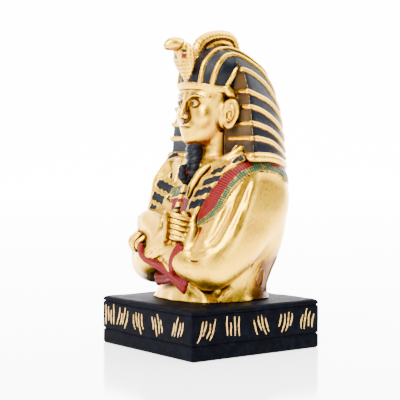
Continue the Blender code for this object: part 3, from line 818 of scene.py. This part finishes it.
def back_point(z, turn, out=0):
    """A point on the back of the headcloth at a height and an angle from the crest."""
    half, back = (np.interp(z, BACK[:, 0], BACK[:, k]) + out for k in (1, 3))
    middle = np.interp(z, *CREST.T)
    c, s = math.cos(math.radians(turn)), math.sin(math.radians(turn))
    return (half * abs(c) ** (2 / 2.4), middle + (back - middle) * s ** (2 / 2.4), z)


def dome_point(z, turn):
    """A point on the front dome at a height and an angle from straight ahead."""
    half, front = (np.interp(z, DOME[:, 0], DOME[:, k]) for k in (1, 2))
    middle = np.interp(z, *CREST.T)
    c, s = math.cos(math.radians(turn)), math.sin(math.radians(turn))
    return (half * s ** (2 / 2.1), middle - (middle - front) * abs(c) ** (2 / 2.1), z)


def headcloth(clay):
    at, q = clay.near((-34, 0, 82), (34, 35, 145), 1)
    middle = at_height(q[:, 2], *CREST.T)
    e = loft(q, BACK, 0, 2.4, lean=CREST)
    panel = middle - q[:, 1]
    body = np.maximum(e, panel) + 0.25 * np.exp(-((e - panel) ** 2) / 1.2)
    foot = at_height(q[:, 1], [0, 12, 17, 22, 30], [90.2, 89.6, 88.2, 87, 85.8])
    body = np.maximum(body, foot - q[:, 2])
    on_panel = panel - e - 0.25
    clay.join(
        at, np.maximum(body, q[:, 2] - 144.4), 0.4, dark=np.full(len(q), FAR), brown=np.float32(-FAR),
    )
    if clay.paint:
        clay.tint("brown", at, np.minimum(np.minimum(on_panel, clay.paint["dark"][at]), q[:, 0] + 5))
    at, q = clay.near((-18, -15, 120), (18, 11, 145), 1)
    e = loft(q, DOME, 0, 2.1, lean=CREST)
    turn = np.arctan2(q[:, 0], 3.0 - q[:, 1])
    pleat = 0.16 * np.cos(turn * 13 + 0.4) * np.clip((q[:, 2] - 124) / 4, 0, 1)
    e = np.maximum(np.maximum(e + pleat, band_middle(q) - 0.4 - q[:, 2]), q[:, 2] - 144.4)
    clay.join(at, e, 0.4, dark=np.float32(FAR))


def band_middle(q):
    """The height of the brow band's middle. It dips towards the ears."""
    return at_height(q[:, 1], [-15.4, -12.7, -9.5, -5.5, 1], [125.4, 124.6, 123.8, 123.1, 122.5])


def bars(clay):
    for inner, table in BARS:
        crest = back_point(table[0][1], 0)
        line = []
        if inner:
            line = [
                (x, crest[1] + 0.35, table[0][1], 1.15)
                for x in np.linspace(inner, crest[0] - 1.4, 4)
            ]
        for turn, height in table:
            line.append((*back_point(height, turn, -0.35), 1.25))
        clay.tube(line, blend=0.25, steps=3, both=True)
    line = [(x, 1.2, 91.2, 2.1) for x in (21, 26, 30.5)]
    line += [(*back_point(height, turn, -0.9), 2.35) for turn, height in RIM]
    clay.tube(line, blend=0.4, steps=3, both=True)


def ribs(clay):
    for table in DOME_RIBS:
        line = []
        for turn, height in table:
            x, y, z = dome_point(height, turn)
            line.append((x * 0.985, y * 0.985, z, 1.25))
        clay.tube(line, blend=0.3, both=True)
    at, q = clay.near((-20, -17, 119), (20, 6, 129), 0.5)
    middle = at_height(q[:, 2], *CREST.T)
    band = loft(q, DOME, 0, 2.1, lean=CREST) - 0.7
    height = np.abs(q[:, 2] - band_middle(q)) - 1.6
    e = np.sqrt(np.maximum(band + 0.6, 0) ** 2 + np.maximum(height + 0.6, 0) ** 2) - 0.6
    clay.join(at, np.maximum(e, q[:, 1] - middle - 1), 0.4)
    clay.tube([(16.2, -1.8, 123.2, 1.6), (16.9, -0.2, 121, 2.1), (17.8, 1.2, 118.6, 1.6)], 1.2, both=True)


# The cobra rises from the brow band with its hood spread, and its body runs back over the crown as
# a high ridge marked with scales.
HOOD = [
    (126, 1.2), (128.5, 2.6), (130.5, 4.4), (132.5, 6), (135, 7.4), (138, 8.1), (141, 8), (143.5, 6.8),
    (145.2, 4.2), (146.2, 1),
]
HOOD_DEPTH = [(126, -12.6), (130, -13.4), (134, -15), (138, -16.2), (142, -16.7), (147, -17)]


def cobra(clay):
    body = [
        (0, -10.8, 128.5, 2.3), (0, -8.6, 133.5, 2.6), (0, -8, 138.5, 2.7), (0, -7.3, 142.4, 2.8),
        (0, -5, 145.8, 2.8), (0, -0.8, 148.2, 2.75), (0, 4.5, 149.4, 2.7), (0, 9.6, 149.3, 2.7),
        (0, 13.2, 147.9, 2.7), (0, 15, 145, 2.65), (0, 15.8, 141.4, 2.5), (0, 17.6, 136.6, 1.6),
    ]
    clay.tube([
        (0, -7, 134, 1.8), (0, -4.6, 139.6, 2.1), (0, -0.8, 143.4, 2.3), (0, 4.5, 145.2, 2.5),
        (0, 10, 145.2, 2.5), (0, 13.4, 142, 2.3),
    ], 0.4)
    at, q = clay.near((-3.5, -14, 125), (3.5, 20, 153), 0.3)
    e, run, _ = along(q, line_through(body, 5))
    scales = np.abs(np.sin(run * math.pi / 1.9 + q[:, 0] * 0.9)) * 0.13 + 0.10 * ripple(q[:, 0], 2)
    clay.join(at, e + scales.astype(np.float32) - 0.05, 0.3)
    clay.blob((2.1, 7.4, 145.6), (0.9, 2.4, 0.8), 0.3, both=True)
    at, q = clay.near((-8.5, -20, 124), (8.5, -11, 147), 0.6)
    half, middle = (at_height(q[:, 2], *line_through(table, 4).T) for table in (HOOD, HOOD_DEPTH))
    ux = np.clip(np.abs(q[:, 0]) / half, 0, 1.2)
    thick = 1.5 * np.sqrt(np.clip(1.05 - ux**2, 0.02, 1)) + 0.35 * np.exp(-((q[:, 0] / 0.8) ** 2))
    flute = 0.14 * ripple(q[:, 0], 2.2) + 0.14 * ripple(q[:, 2], 1.7)
    bowl = 0.06 * q[:, 0] ** 2 * np.clip((q[:, 2] - 130) / 12, 0, 1)
    e = np.maximum(np.abs(q[:, 1] - middle - bowl * 0.4) - thick + flute, (np.abs(q[:, 0]) - half) * 0.9)
    e = np.maximum(e, np.abs(q[:, 2] - 136) - 11) * 0.8
    spots = 1.15 - np.hypot((np.abs(q[:, 0]) - 3.3) * 0.7, q[:, 2] - 138.8)
    smudge = 0.75 - np.hypot((np.abs(q[:, 0]) - 3.5) * 0.45, q[:, 2] - 141.2)
    front = middle - q[:, 1]
    clay.join(at, e, 0.4, red=np.minimum(spots, front - 0.2), dark=np.minimum(smudge, front - 0.2))
    neck = [
        (0, -15.8, 136, 1.6), (0, -16.8, 141.6, 2.8), (0, -18.4, 144, 3.3), (0, -20.8, 144.3, 3.2),
        (0, -23, 143.9, 2.8), (0, -24.6, 143.3, 2.1),
    ]
    clay.tube(neck, 0.7)
    clay.blob((0, -21, 144.4), (3.9, 4.6, 3), 0.6)
    clay.blob((2.2, -22, 145.6), (0.8, 1.1, 0.8), 0.3, both=True)
    at, q = clay.near((0, -28, 139), (4, -19, 144), both=True)
    jaw = [
        (0.3, -26.8, 142, 0.45), (1.6, -25.2, 141.6, 0.5), (2.2, -23, 141.2, 0.4), (2.6, -21, 140.9, 0.3),
    ]
    clay.tint("dark", at, -along(q, line_through(jaw, 3))[0])


# The plaited ceremonial beard hangs clear of the chest from under the chin, and its tip curls
# forward and up round a small red bead. It is painted black.
def beard(clay):
    line = line_through([
        (0, -9, 97, 3.7), (0, -8.7, 92, 4.1), (0, -8.8, 87, 4), (0, -10, 83, 3.5), (0, -12.4, 80.8, 2.5),
        (0, -14.7, 80.7, 2.2), (0, -16.4, 82.6, 1.9), (0, -16.2, 85.2, 1.6), (0, -14.6, 86.8, 1.2),
    ], 5)
    clay.blob((0, -14, 83.8), (1.6, 1.3, 1.3), 0.1, red=np.float32(FAR))
    at, q = clay.near((-4, -19, 76), (4, -5, 98), 0.3)
    e, run, _ = along(q, line)
    twist = np.arctan2(q[:, 0], -(q[:, 1] + 8.8))
    plait = np.abs(np.sin(run * math.pi / 3.4 + twist)) ** 0.7 * 0.8
    clay.join(at, e - plait.astype(np.float32) + 0.35, 0.2, dark=np.float32(FAR))


# The rod that the right fist grips has a round pommel below and a stem above that leans in to the
# chest. The sceptre by the left hand shows only its fluted lower end.
SCEPTRE_LOBES = (
    (-24.4, -28.4, 54, 47.6, 1.6), (-21.2, -30.4, 54.4, 46.2, 1.9), (-17.6, -31.4, 53.8, 46, 1.9),
    (-14, -31.4, 52.6, 46.6, 1.7),
)


def rods(clay):
    clay.tube([
        (9.6, -26, 53.6, 1.5), (10, -26.8, 52.2, 2), (10.2, -27, 51, 2), (10.2, -27, 50, 1.3),
    ], 0.15)
    stem = [
        (8.4, -25.8, 65.6, 1.5), (8.6, -24.4, 69, 1.3), (8.2, -22.4, 73.4, 1.4), (7.4, -20.2, 77.2, 1.2),
    ]
    clay.tube(stem, 0.2)
    at, q = clay.near((5, -28, 62), (11, -18, 79))
    close = 0.35 - along(q, line_through(stem, 3))[0]
    rings = np.maximum(0.7 - np.abs(q[:, 2] - 67.6), 0.6 - np.abs(q[:, 2] - 74.4))
    clay.tint("dark", at, np.minimum(close, rings))
    clay.tint("red", at, np.minimum(close, 0.9 - np.abs(q[:, 2] - 71.2)))
    for x, y, top, low, r in SCEPTRE_LOBES:
        middle = (x, y - 0.6, (top + low) / 2, r)
        clay.tube([(x + 1.8, y + 1.4, top, r * 0.7), middle, (x - 0.4, y + 0.4, low, 0.7)], 0.25)


# Red sash ribbons cross low on the front. They are flat bands with flared ends, cast in one with
# the cloak and painted.
RIBBON_ONE = [
    (-10.2, -33, 49.4, 1.1), (-10.8, -32.8, 46, 1.3), (-8.6, -32, 43, 1.4), (-4.4, -30.8, 41.4, 1.6),
    (-0.4, -30, 40.2, 1.8), (2.6, -28.6, 38.4, 2), (5.4, -27, 36.2, 2.4), (9.4, -25.8, 33.4, 3),
    (14.2, -24.8, 31, 3.6),
]
RIBBON_TWO = [
    (15.6, -28.6, 49.8, 2.5), (13.6, -30, 47.2, 1.7), (11.4, -30.4, 43.4, 1.5), (10.4, -29.8, 39.6, 1.5),
    (7.6, -27, 37, 1.8), (2.6, -24.8, 34.8, 2.2), (-3, -23.8, 33.4, 2.6), (-9.4, -24.2, 32.6, 3.1),
]


def ribbons(clay):
    for line in (RIBBON_TWO, RIBBON_ONE):
        curve = line_through(line, 4)
        at, q = clay.near(curve[:, :3].min(0) - 3, curve[:, :3].max(0) + 3, 0.3)
        if len(at):
            e, side = strip(q, curve, 1.1, lambda p: (0.2, -1, -0.15))
            clay.join(at, e + 0.14 * np.cos(side * 2.6), 0.2, red=np.float32(FAR))


FORMS = (
    cloak, sleeves, collar, lappets, head, nose, mouth, eyes, ears, headcloth, bars, ribs, cobra, beard,
    hands, rods, ribbons,
)


def figure(points, reach, painted=False):
    """The whole casting, from the plinth's top upwards."""
    clay = Clay(points, reach, painted)
    for form in FORMS:
        form(clay)
    clay.d = np.maximum(clay.d, plinth_top + 0.02 - clay.z)
    return clay


# The casting itself: the clay's surface is found on a fine grid, thinned where it is plain, and laid
# back exactly onto the modelled surface. Paint goes with its points, and so does painted shade: the
# depth of each hollow, how far each point faces down and how low on the back it is.
def surface_of(low, high, pitch):
    """The surface as points and quads, looked for only in the tiles that it passes through."""
    tiles = np.ceil((np.array(high) - low) / (8 * pitch)).astype(int)
    grid = np.empty(tiles * 8, np.float32)

    def centres(numbers, size):
        return (low + (numbers + 0.5) * size * pitch).astype(np.float32)

    coarse = np.argwhere(np.ones(tiles, bool))
    clay = figure(centres(coarse, 8), 8 * pitch + 2)
    d = clay.out(clay.d)
    view = grid.reshape(tiles[0], 8, tiles[1], 8, tiles[2], 8).transpose(0, 2, 4, 1, 3, 5)
    view[...] = d.reshape(tiles)[..., None, None, None]
    coarse = coarse[np.abs(d) < 8 * pitch * 0.95 + 1.2]
    step = np.argwhere(np.ones((2, 2, 2), bool))
    middle = (coarse[:, None] * 2 + step).reshape(-1, 3)
    clay = figure(centres(middle, 4), 4 * pitch + 1.5)
    d = clay.out(clay.d)
    view = grid.reshape(tiles[0] * 2, 4, tiles[1] * 2, 4, tiles[2] * 2, 4).transpose(0, 2, 4, 1, 3, 5)
    view[middle[:, 0], middle[:, 1], middle[:, 2]] = d[:, None, None, None]
    middle = middle[np.abs(d) < 4 * pitch * 0.95 + 0.8]
    step = np.argwhere(np.ones((4, 4, 4), bool))
    fine = (middle[:, None] * 4 + step).reshape(-1, 3)
    clay = figure(centres(fine, 1), 2.0)
    grid[fine[:, 0], fine[:, 1], fine[:, 2]] = clay.out(clay.d)
    return nets(grid, low, pitch)


def nets(grid, low, pitch):
    """One point in each cell that the surface crosses, joined into quads across each crossed edge."""
    inside = grid < 0
    count = np.zeros(np.array(grid.shape) - 1, np.uint8)
    corners = np.argwhere(np.ones((2, 2, 2), bool))
    sx, sy, sz = count.shape
    for a, b, c in corners:
        count += inside[a : a + sx, b : b + sy, c : c + sz]
    cells = np.argwhere((count > 0) & (count < 8))
    number = np.full(count.shape, -1, np.int32)
    number[tuple(cells.T)] = np.arange(len(cells))
    values = np.stack([grid[cells[:, 0] + a, cells[:, 1] + b, cells[:, 2] + c] for a, b, c in corners])
    total, hits = np.zeros((len(cells), 3)), np.zeros(len(cells))
    for u in range(8):
        for v in range(u + 1, 8):
            if np.abs(corners[u] - corners[v]).sum() == 1:
                cross = (values[u] < 0) != (values[v] < 0)
                t = np.where(cross, values[u] / np.where(cross, values[u] - values[v], 1), 0)
                total += cross[:, None] * (corners[u] + t[:, None] * (corners[v] - corners[u]))
                hits += cross
    points = low + (cells + total / hits[:, None] + 0.5) * pitch
    faces = []
    for axis in range(3):
        one = np.eye(3, dtype=int)[axis]
        e1, e2 = np.roll(one, 1), np.roll(one, 2)
        a = inside[: -1 if axis == 0 else None, : -1 if axis == 1 else None, : -1 if axis == 2 else None]
        b = inside[one[0] :, one[1] :, one[2] :]
        edges = np.argwhere(a != b)
        edges = edges[(edges[:, (axis + 1) % 3] > 0) & (edges[:, (axis + 2) % 3] > 0)]
        loop = [number[tuple((edges - shift).T)] for shift in (0 * one, e1, e1 + e2, e2)]
        quad = np.stack(loop, 1)
        outward = inside[tuple(edges.T)]
        quad[~outward] = quad[~outward][:, ::-1]
        faces.append(quad)
    return points, np.concatenate(faces)


def slope_at(points):
    """Distance and its slope at each point."""
    n, h = len(points), 0.04
    shifted = [points] + [points + h * axis for axis in np.eye(3)]
    clay = figure(np.concatenate(shifted), 1.5)
    d = clay.out(clay.d).reshape(4, n)
    return d[0], (d[1:] - d[0]).T / h


def settled(points, most):
    """The points moved onto the surface, each by no more than a distance."""
    d, slope = slope_at(points)
    size = (slope**2).sum(1)[:, None]
    move = np.clip(d, -most, most)[:, None] * slope / np.maximum(size, 0.25)
    return points - move


def thin(obj, share):
    """Joins faces where the surface is plain, down to a share of them."""
    modifier = obj.modifiers.new("thin", "DECIMATE")
    modifier.ratio = share
    modifier.use_collapse_triangulate = True
    depsgraph = bpy.context.evaluated_depsgraph_get()
    mesh = bpy.data.meshes.new_from_object(obj.evaluated_get(depsgraph))
    obj.modifiers.clear()
    old, obj.data = obj.data, mesh
    bpy.data.meshes.remove(old)


LOW, HIGH = np.array([-38.4, -37.4, 22.0]), np.array([38.4, 38.0, 153.5])
pitch = 0.42
points, faces = surface_of(LOW, HIGH, pitch)
points = settled(points, pitch * 0.6)
bust = mesh_of("bust_casting", points, faces)
wanted = 188000
thin(bust, min(1.0, wanted / (2 * len(faces))))
mesh = bust.data
points = np.empty(len(mesh.vertices) * 3, np.float32)
mesh.vertices.foreach_get("co", points)
points = settled(points.reshape(-1, 3) * 1000.0, 0.15)
mesh.vertices.foreach_set("co", (points / 1000.0).astype(np.float32).ravel())
mesh.shade_smooth()

_, slope = slope_at(points)
normal = slope / np.sqrt((slope**2).sum(1))[:, None]
painted = figure(points - 0.02 * normal, 1.5, painted=True)
for name in PAINTS:
    layer = mesh.attributes.new(name, "FLOAT", "POINT")
    layer.data.foreach_set("value", painted.out(painted.paint[name]).astype(np.float32))
layer = mesh.attributes.new("rib_run", "FLOAT", "POINT")
layer.data.foreach_set("value", painted.out(painted.rib_run))
# Painted shade: these values darken the gold in hollows, on surfaces that face down and low on the back.
for name, distance in (("near_wash_and_shade", 0.9), ("wide_wash_and_shade", 2.8)):
    outside = figure(points + distance * normal, distance + 1.0)
    layer = mesh.attributes.new(name, "FLOAT", "POINT")
    closed = 1.0 - outside.out(outside.d) / distance + 0.45 * np.clip(-normal[:, 2] - 0.15, 0, 1)
    low_back_shade = 0.7 * np.clip((52.0 - points[:, 2]) / 24.0, 0, 1) * np.clip(points[:, 1] / 12.0, 0, 1)
    layer.data.foreach_set("value", (closed + low_back_shade).astype(np.float32))
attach(bust, "root")
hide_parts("bust")


# Paint. The whole figure is gold over a dark wash that stays in the hollows, brushed by hand, so the
# painted areas have slightly ragged edges and the gold has fine streaks. The wash is made deeper as
# painted shade in hollows, under overhangs and low on the back, and the collar's bead rows have
# painted shade in their grooves.
class Socket:
    """A shader value that can be used in sums."""

    def __init__(self, tree, socket, vector=False):
        self.tree, self.socket, self.vector = tree, socket, vector

    def _math(self, kind, *others, swap=False):
        if self.vector or any(isinstance(o, Socket) and o.vector for o in others):
            node = self.tree.nodes.new("ShaderNodeVectorMath")
        else:
            node = self.tree.nodes.new("ShaderNodeMath")
        node.operation = kind
        inputs = (*others, self) if swap else (self, *others)
        for k, value in enumerate(inputs):
            if isinstance(value, Socket):
                self.tree.links.new(value.socket, node.inputs[k])
            elif node.inputs[k].type == "VECTOR" and not hasattr(value, "__len__"):
                node.inputs[k].default_value = (value, value, value)
            else:
                node.inputs[k].default_value = value
        return Socket(self.tree, node.outputs[0], node.outputs[0].type == "VECTOR")

    def __add__(self, other):
        return self._math("ADD", other)

    def __radd__(self, other):
        return self._math("ADD", other, swap=True)

    def __sub__(self, other):
        return self._math("SUBTRACT", other)

    def __rsub__(self, other):
        return self._math("SUBTRACT", other, swap=True)

    def __mul__(self, other):
        return self._math("MULTIPLY", other)

    def __rmul__(self, other):
        return self._math("MULTIPLY", other, swap=True)

    def sine(self):
        return self._math("SINE")

    def above(self, other):
        return self._math("MAXIMUM", other)

    def step(self, low, high):
        """0 below low and 1 above high, smooth between."""
        smooth = {"interpolation_type": "SMOOTHSTEP"}
        return self.node("ShaderNodeMapRange", smooth, Value=self, From_Min=low, From_Max=high)

    def node(self, kind, settings=None, out=0, **values):
        node = self.tree.nodes.new(kind)
        for key, value in (settings or {}).items():
            setattr(node, key, value)
        for key, value in values.items():
            target = next(s for s in node.inputs if s.name == key.replace("_", " ") and s.enabled)
            if isinstance(value, Socket):
                self.tree.links.new(value.socket, target)
            else:
                target.default_value = value
        socket = node.outputs[out]
        return Socket(self.tree, socket, socket.type == "VECTOR")

    def mix(self, first, second):
        """first where this is 0, second where it is 1, both colours."""
        node = self.tree.nodes.new("ShaderNodeMix")
        node.data_type = "RGBA"
        self.tree.links.new(self.socket, node.inputs[0])
        for slot, value in ((6, first), (7, second)):
            if isinstance(value, Socket):
                self.tree.links.new(value.socket, node.inputs[slot])
            else:
                node.inputs[slot].default_value = (*value, 1.0)
        return Socket(self.tree, node.outputs[2])


def material(name):
    """A new material, its tree's Principled shader and a first socket: the place on the object, in mm."""
    made = bpy.data.materials.new(name)
    made.use_nodes = True
    tree = made.node_tree
    shader = tree.nodes["Principled BSDF"]
    start = Socket(tree, None)
    place = start.node("ShaderNodeTexCoord", out=3)
    return made, shader, place * 1000.0


def noise(place, scale, detail=3.0, rough=0.5, stretch=None):
    """Random mottling. It can be drawn out, by factors along axes that are turned first."""
    if stretch is not None:
        turn, factors = stretch
        as_texture = {"vector_type": "TEXTURE"}
        place = place.node("ShaderNodeMapping", as_texture, Vector=place, Rotation=turn, Scale=factors)
    return place.node("ShaderNodeTexNoise", Vector=place, Scale=scale, Detail=detail, Roughness=rough)


def bumped(shader, height, strength, distance):
    node = height.tree.nodes.new("ShaderNodeBump")
    node.inputs["Strength"].default_value = strength
    node.inputs["Distance"].default_value = distance
    height.tree.links.new(height.socket, node.inputs["Height"])
    height.tree.links.new(node.outputs[0], shader.inputs["Normal"])


def feed(shader, **values):
    """Sets or links the shader's own sockets."""
    for key, value in values.items():
        socket = shader.inputs[key.replace("_", " ")]
        if isinstance(value, Socket):
            value.tree.links.new(value.socket, socket)
        else:
            socket.default_value = value


def attribute(place, name):
    return place.node("ShaderNodeAttribute", {"attribute_name": name}, out=2)


gold, shader, place = material("gold_and_colours")
ragged = (noise(place, 0.9, 4.0) - 0.5) * 0.5
masks = {name: (attribute(place, name) + ragged).step(-0.08, 0.10) for name in PAINTS}
near_wash_and_shade, wide = attribute(place, "near_wash_and_shade"), attribute(place, "wide_wash_and_shade")
streaks = noise(place, 1.0, 4.0, 0.6, ((-0.6, 0.25, 0.0), (0.5, 0.5, 9.0)))
patchy = noise(place, 0.10)
# Dark brown mixed into the gold: a real wash in the hollows, deepened into painted shade there, under
# overhangs and low on the back.
wash_and_painted_shade = (near_wash_and_shade * 1.1 + wide + (streaks - 0.5) * 0.8).step(0.20, 1.0)
base = (streaks * 0.8 + patchy * 0.5).step(0.40, 0.85).mix((0.80, 0.38, 0.0005), (1.0, 0.60, 0.001))
base = wash_and_painted_shade.mix(base, (0.085, 0.026, 0.001))
# Bead rows on the collar: one wave gives them a bump and painted shade, a darker colour in the grooves
# between rows.
rib_bump_and_shade = (attribute(place, "rib_run") * 6.1).sine() * 0.5 + 0.5
worn = (noise(place, 0.35, 4.0) + rib_bump_and_shade * 0.16).step(0.66, 0.80)
green = worn.mix(rib_bump_and_shade.mix((0.006, 0.018, 0.006), (0.048, 0.105, 0.034)), (0.34, 0.18, 0.02))
red = (rib_bump_and_shade * (0.7 + streaks * 0.6)).mix((0.030, 0.0006, 0.001), (0.20, 0.0026, 0.0045))
colour = masks["green"].mix(base, green)
colour = masks["red"].mix(colour, red)
colour = masks["dark"].mix(colour, (0.0022, 0.0030, 0.0060))
brown = patchy.step(0.35, 0.65).mix((0.008, 0.004, 0.002), (0.050, 0.026, 0.008))
colour = masks["brown"].mix(colour, brown)
covered = masks["green"].above(masks["red"]).above(masks["dark"]).above(masks["brown"])
feed(shader, Base_Color=colour, Metallic=(1.0 - covered) * 0.97, Specular_IOR_Level=0.14)
feed(shader, Roughness=0.30 + (streaks - 0.5) * 0.24 + covered * 0.11)
ribbed = masks["green"].above(masks["red"]) * rib_bump_and_shade
bumped(shader, streaks * 0.8 + noise(place, 2.2) * 0.4 + ribbed * 0.9, 0.35, 0.0005)
bust.data.materials.clear()
bust.data.materials.append(gold)

black, shader, place = material("black_plinth_paint")
rubbed = noise(place, 0.25, 5.0, 0.65)
feed(shader, Base_Color=rubbed.step(0.4, 0.8).mix((0.0006, 0.0008, 0.0020), (0.003, 0.004, 0.008)))
feed(shader, Roughness=0.50 + rubbed * 0.2, Specular_IOR_Level=0.02)
bumped(shader, rubbed + noise(place, 1.4) * 0.3, 0.3, 0.0005)
plinth.data.materials.append(black)

worn_gold, shader, place = material("worn_gold_strokes")
left = noise(place, 0.8, 4.0).step(0.34, 0.52)
feed(shader, Base_Color=left.mix((0.10, 0.060, 0.020), (0.75, 0.45, 0.10)))
feed(shader, Metallic=left * 0.5, Roughness=0.42)
strokes.data.materials.append(worn_gold)

# The photograph's stage: a pale floor and backdrop card, soft light from above on both sides, and a
# long lens.
WHITE = (1.0, 1.0, 1.0, 1.0)
corners = [(x * 3000, y * 3000, 0) for x, y in ((-1, -1), (1, -1), (1, 1), (-1, 1))]
floor_mesh = mesh_of("floor", corners, [(0, 1, 2, 3)], False)
white, shader, _ = material("floor_white")
feed(shader, Base_Color=(0.90, 0.90, 0.91, 1.0), Roughness=0.12)
feed(shader, Emission_Color=WHITE, Emission_Strength=2.0)
floor_mesh.data.materials.append(white)

AZIMUTH, ELEVATION, DISTANCE = math.radians(53.5), math.radians(2.67), 0.61676
SENSOR, FOCAL_PIXELS, PICTURE_PIXELS = 36.0, 1277.1, 400.0
right = Vector((math.cos(AZIMUTH), math.sin(AZIMUTH), 0.0))
level_back = Vector((math.sin(AZIMUTH), -math.cos(AZIMUTH), 0.0))
back = level_back * math.cos(ELEVATION) + Vector((0.0, 0.0, math.sin(ELEVATION)))
target = right * -0.004595 + Vector((0.0, 0.0, 0.070273))
camera = bpy.data.objects.new("camera", bpy.data.cameras.new("camera"))
camera.data.sensor_width = SENSOR
camera.data.lens = SENSOR * FOCAL_PIXELS / PICTURE_PIXELS
camera.data.clip_start = 0.01
camera.location = target + back * DISTANCE
camera.rotation_euler = back.to_track_quat("Z", "Y").to_euler()
bpy.context.scene.collection.objects.link(camera)
bpy.context.scene.camera = camera

edges = ((-1, -4.0), (1, -4.0), (1, 1100.0), (-1, 1100.0))
corners = [(right * s - level_back) * 1500.0 + Vector((0, 0, z)) for s, z in edges]
card = mesh_of("backdrop", [tuple(c) for c in corners], [(0, 1, 2, 3)], False)
glow, shader, _ = material("backdrop_white")
feed(shader, Base_Color=(0.9, 0.9, 0.9, 1.0), Roughness=0.8)
feed(shader, Emission_Color=WHITE, Emission_Strength=11.0)
card.data.materials.append(glow)


def softbox(name, turn, height, size, power, reach=0.9):
    """A square light at an angle round from the camera, to the right, aimed at the figure."""
    light = bpy.data.lights.new(name, "AREA")
    light.size = size
    light.energy = power
    obj = bpy.data.objects.new(name, light)
    a = AZIMUTH + math.radians(turn)
    obj.location = (reach * math.sin(a), -reach * math.cos(a), height)
    obj.rotation_euler = (obj.location - Vector((0.0, 0.0, 0.08))).to_track_quat("Z", "Y").to_euler()
    bpy.context.scene.collection.objects.link(obj)


softbox("key", -34, 1.1, 0.5, 44.0)
softbox("front", -28, 0.40, 0.5, 7.0)
softbox("side", -110, 0.35, 0.7, 7.0)
softbox("top", 150, 1.4, 1.2, 34.0, 0.3)
softbox("shoulder", 112, 0.75, 0.8, 22.0)

world = bpy.data.worlds.new("studio")
world.use_nodes = True
sky = world.node_tree.nodes["Background"]
sky.inputs["Color"].default_value = WHITE
sky.inputs["Strength"].default_value = 0.22
bpy.context.scene.world = world
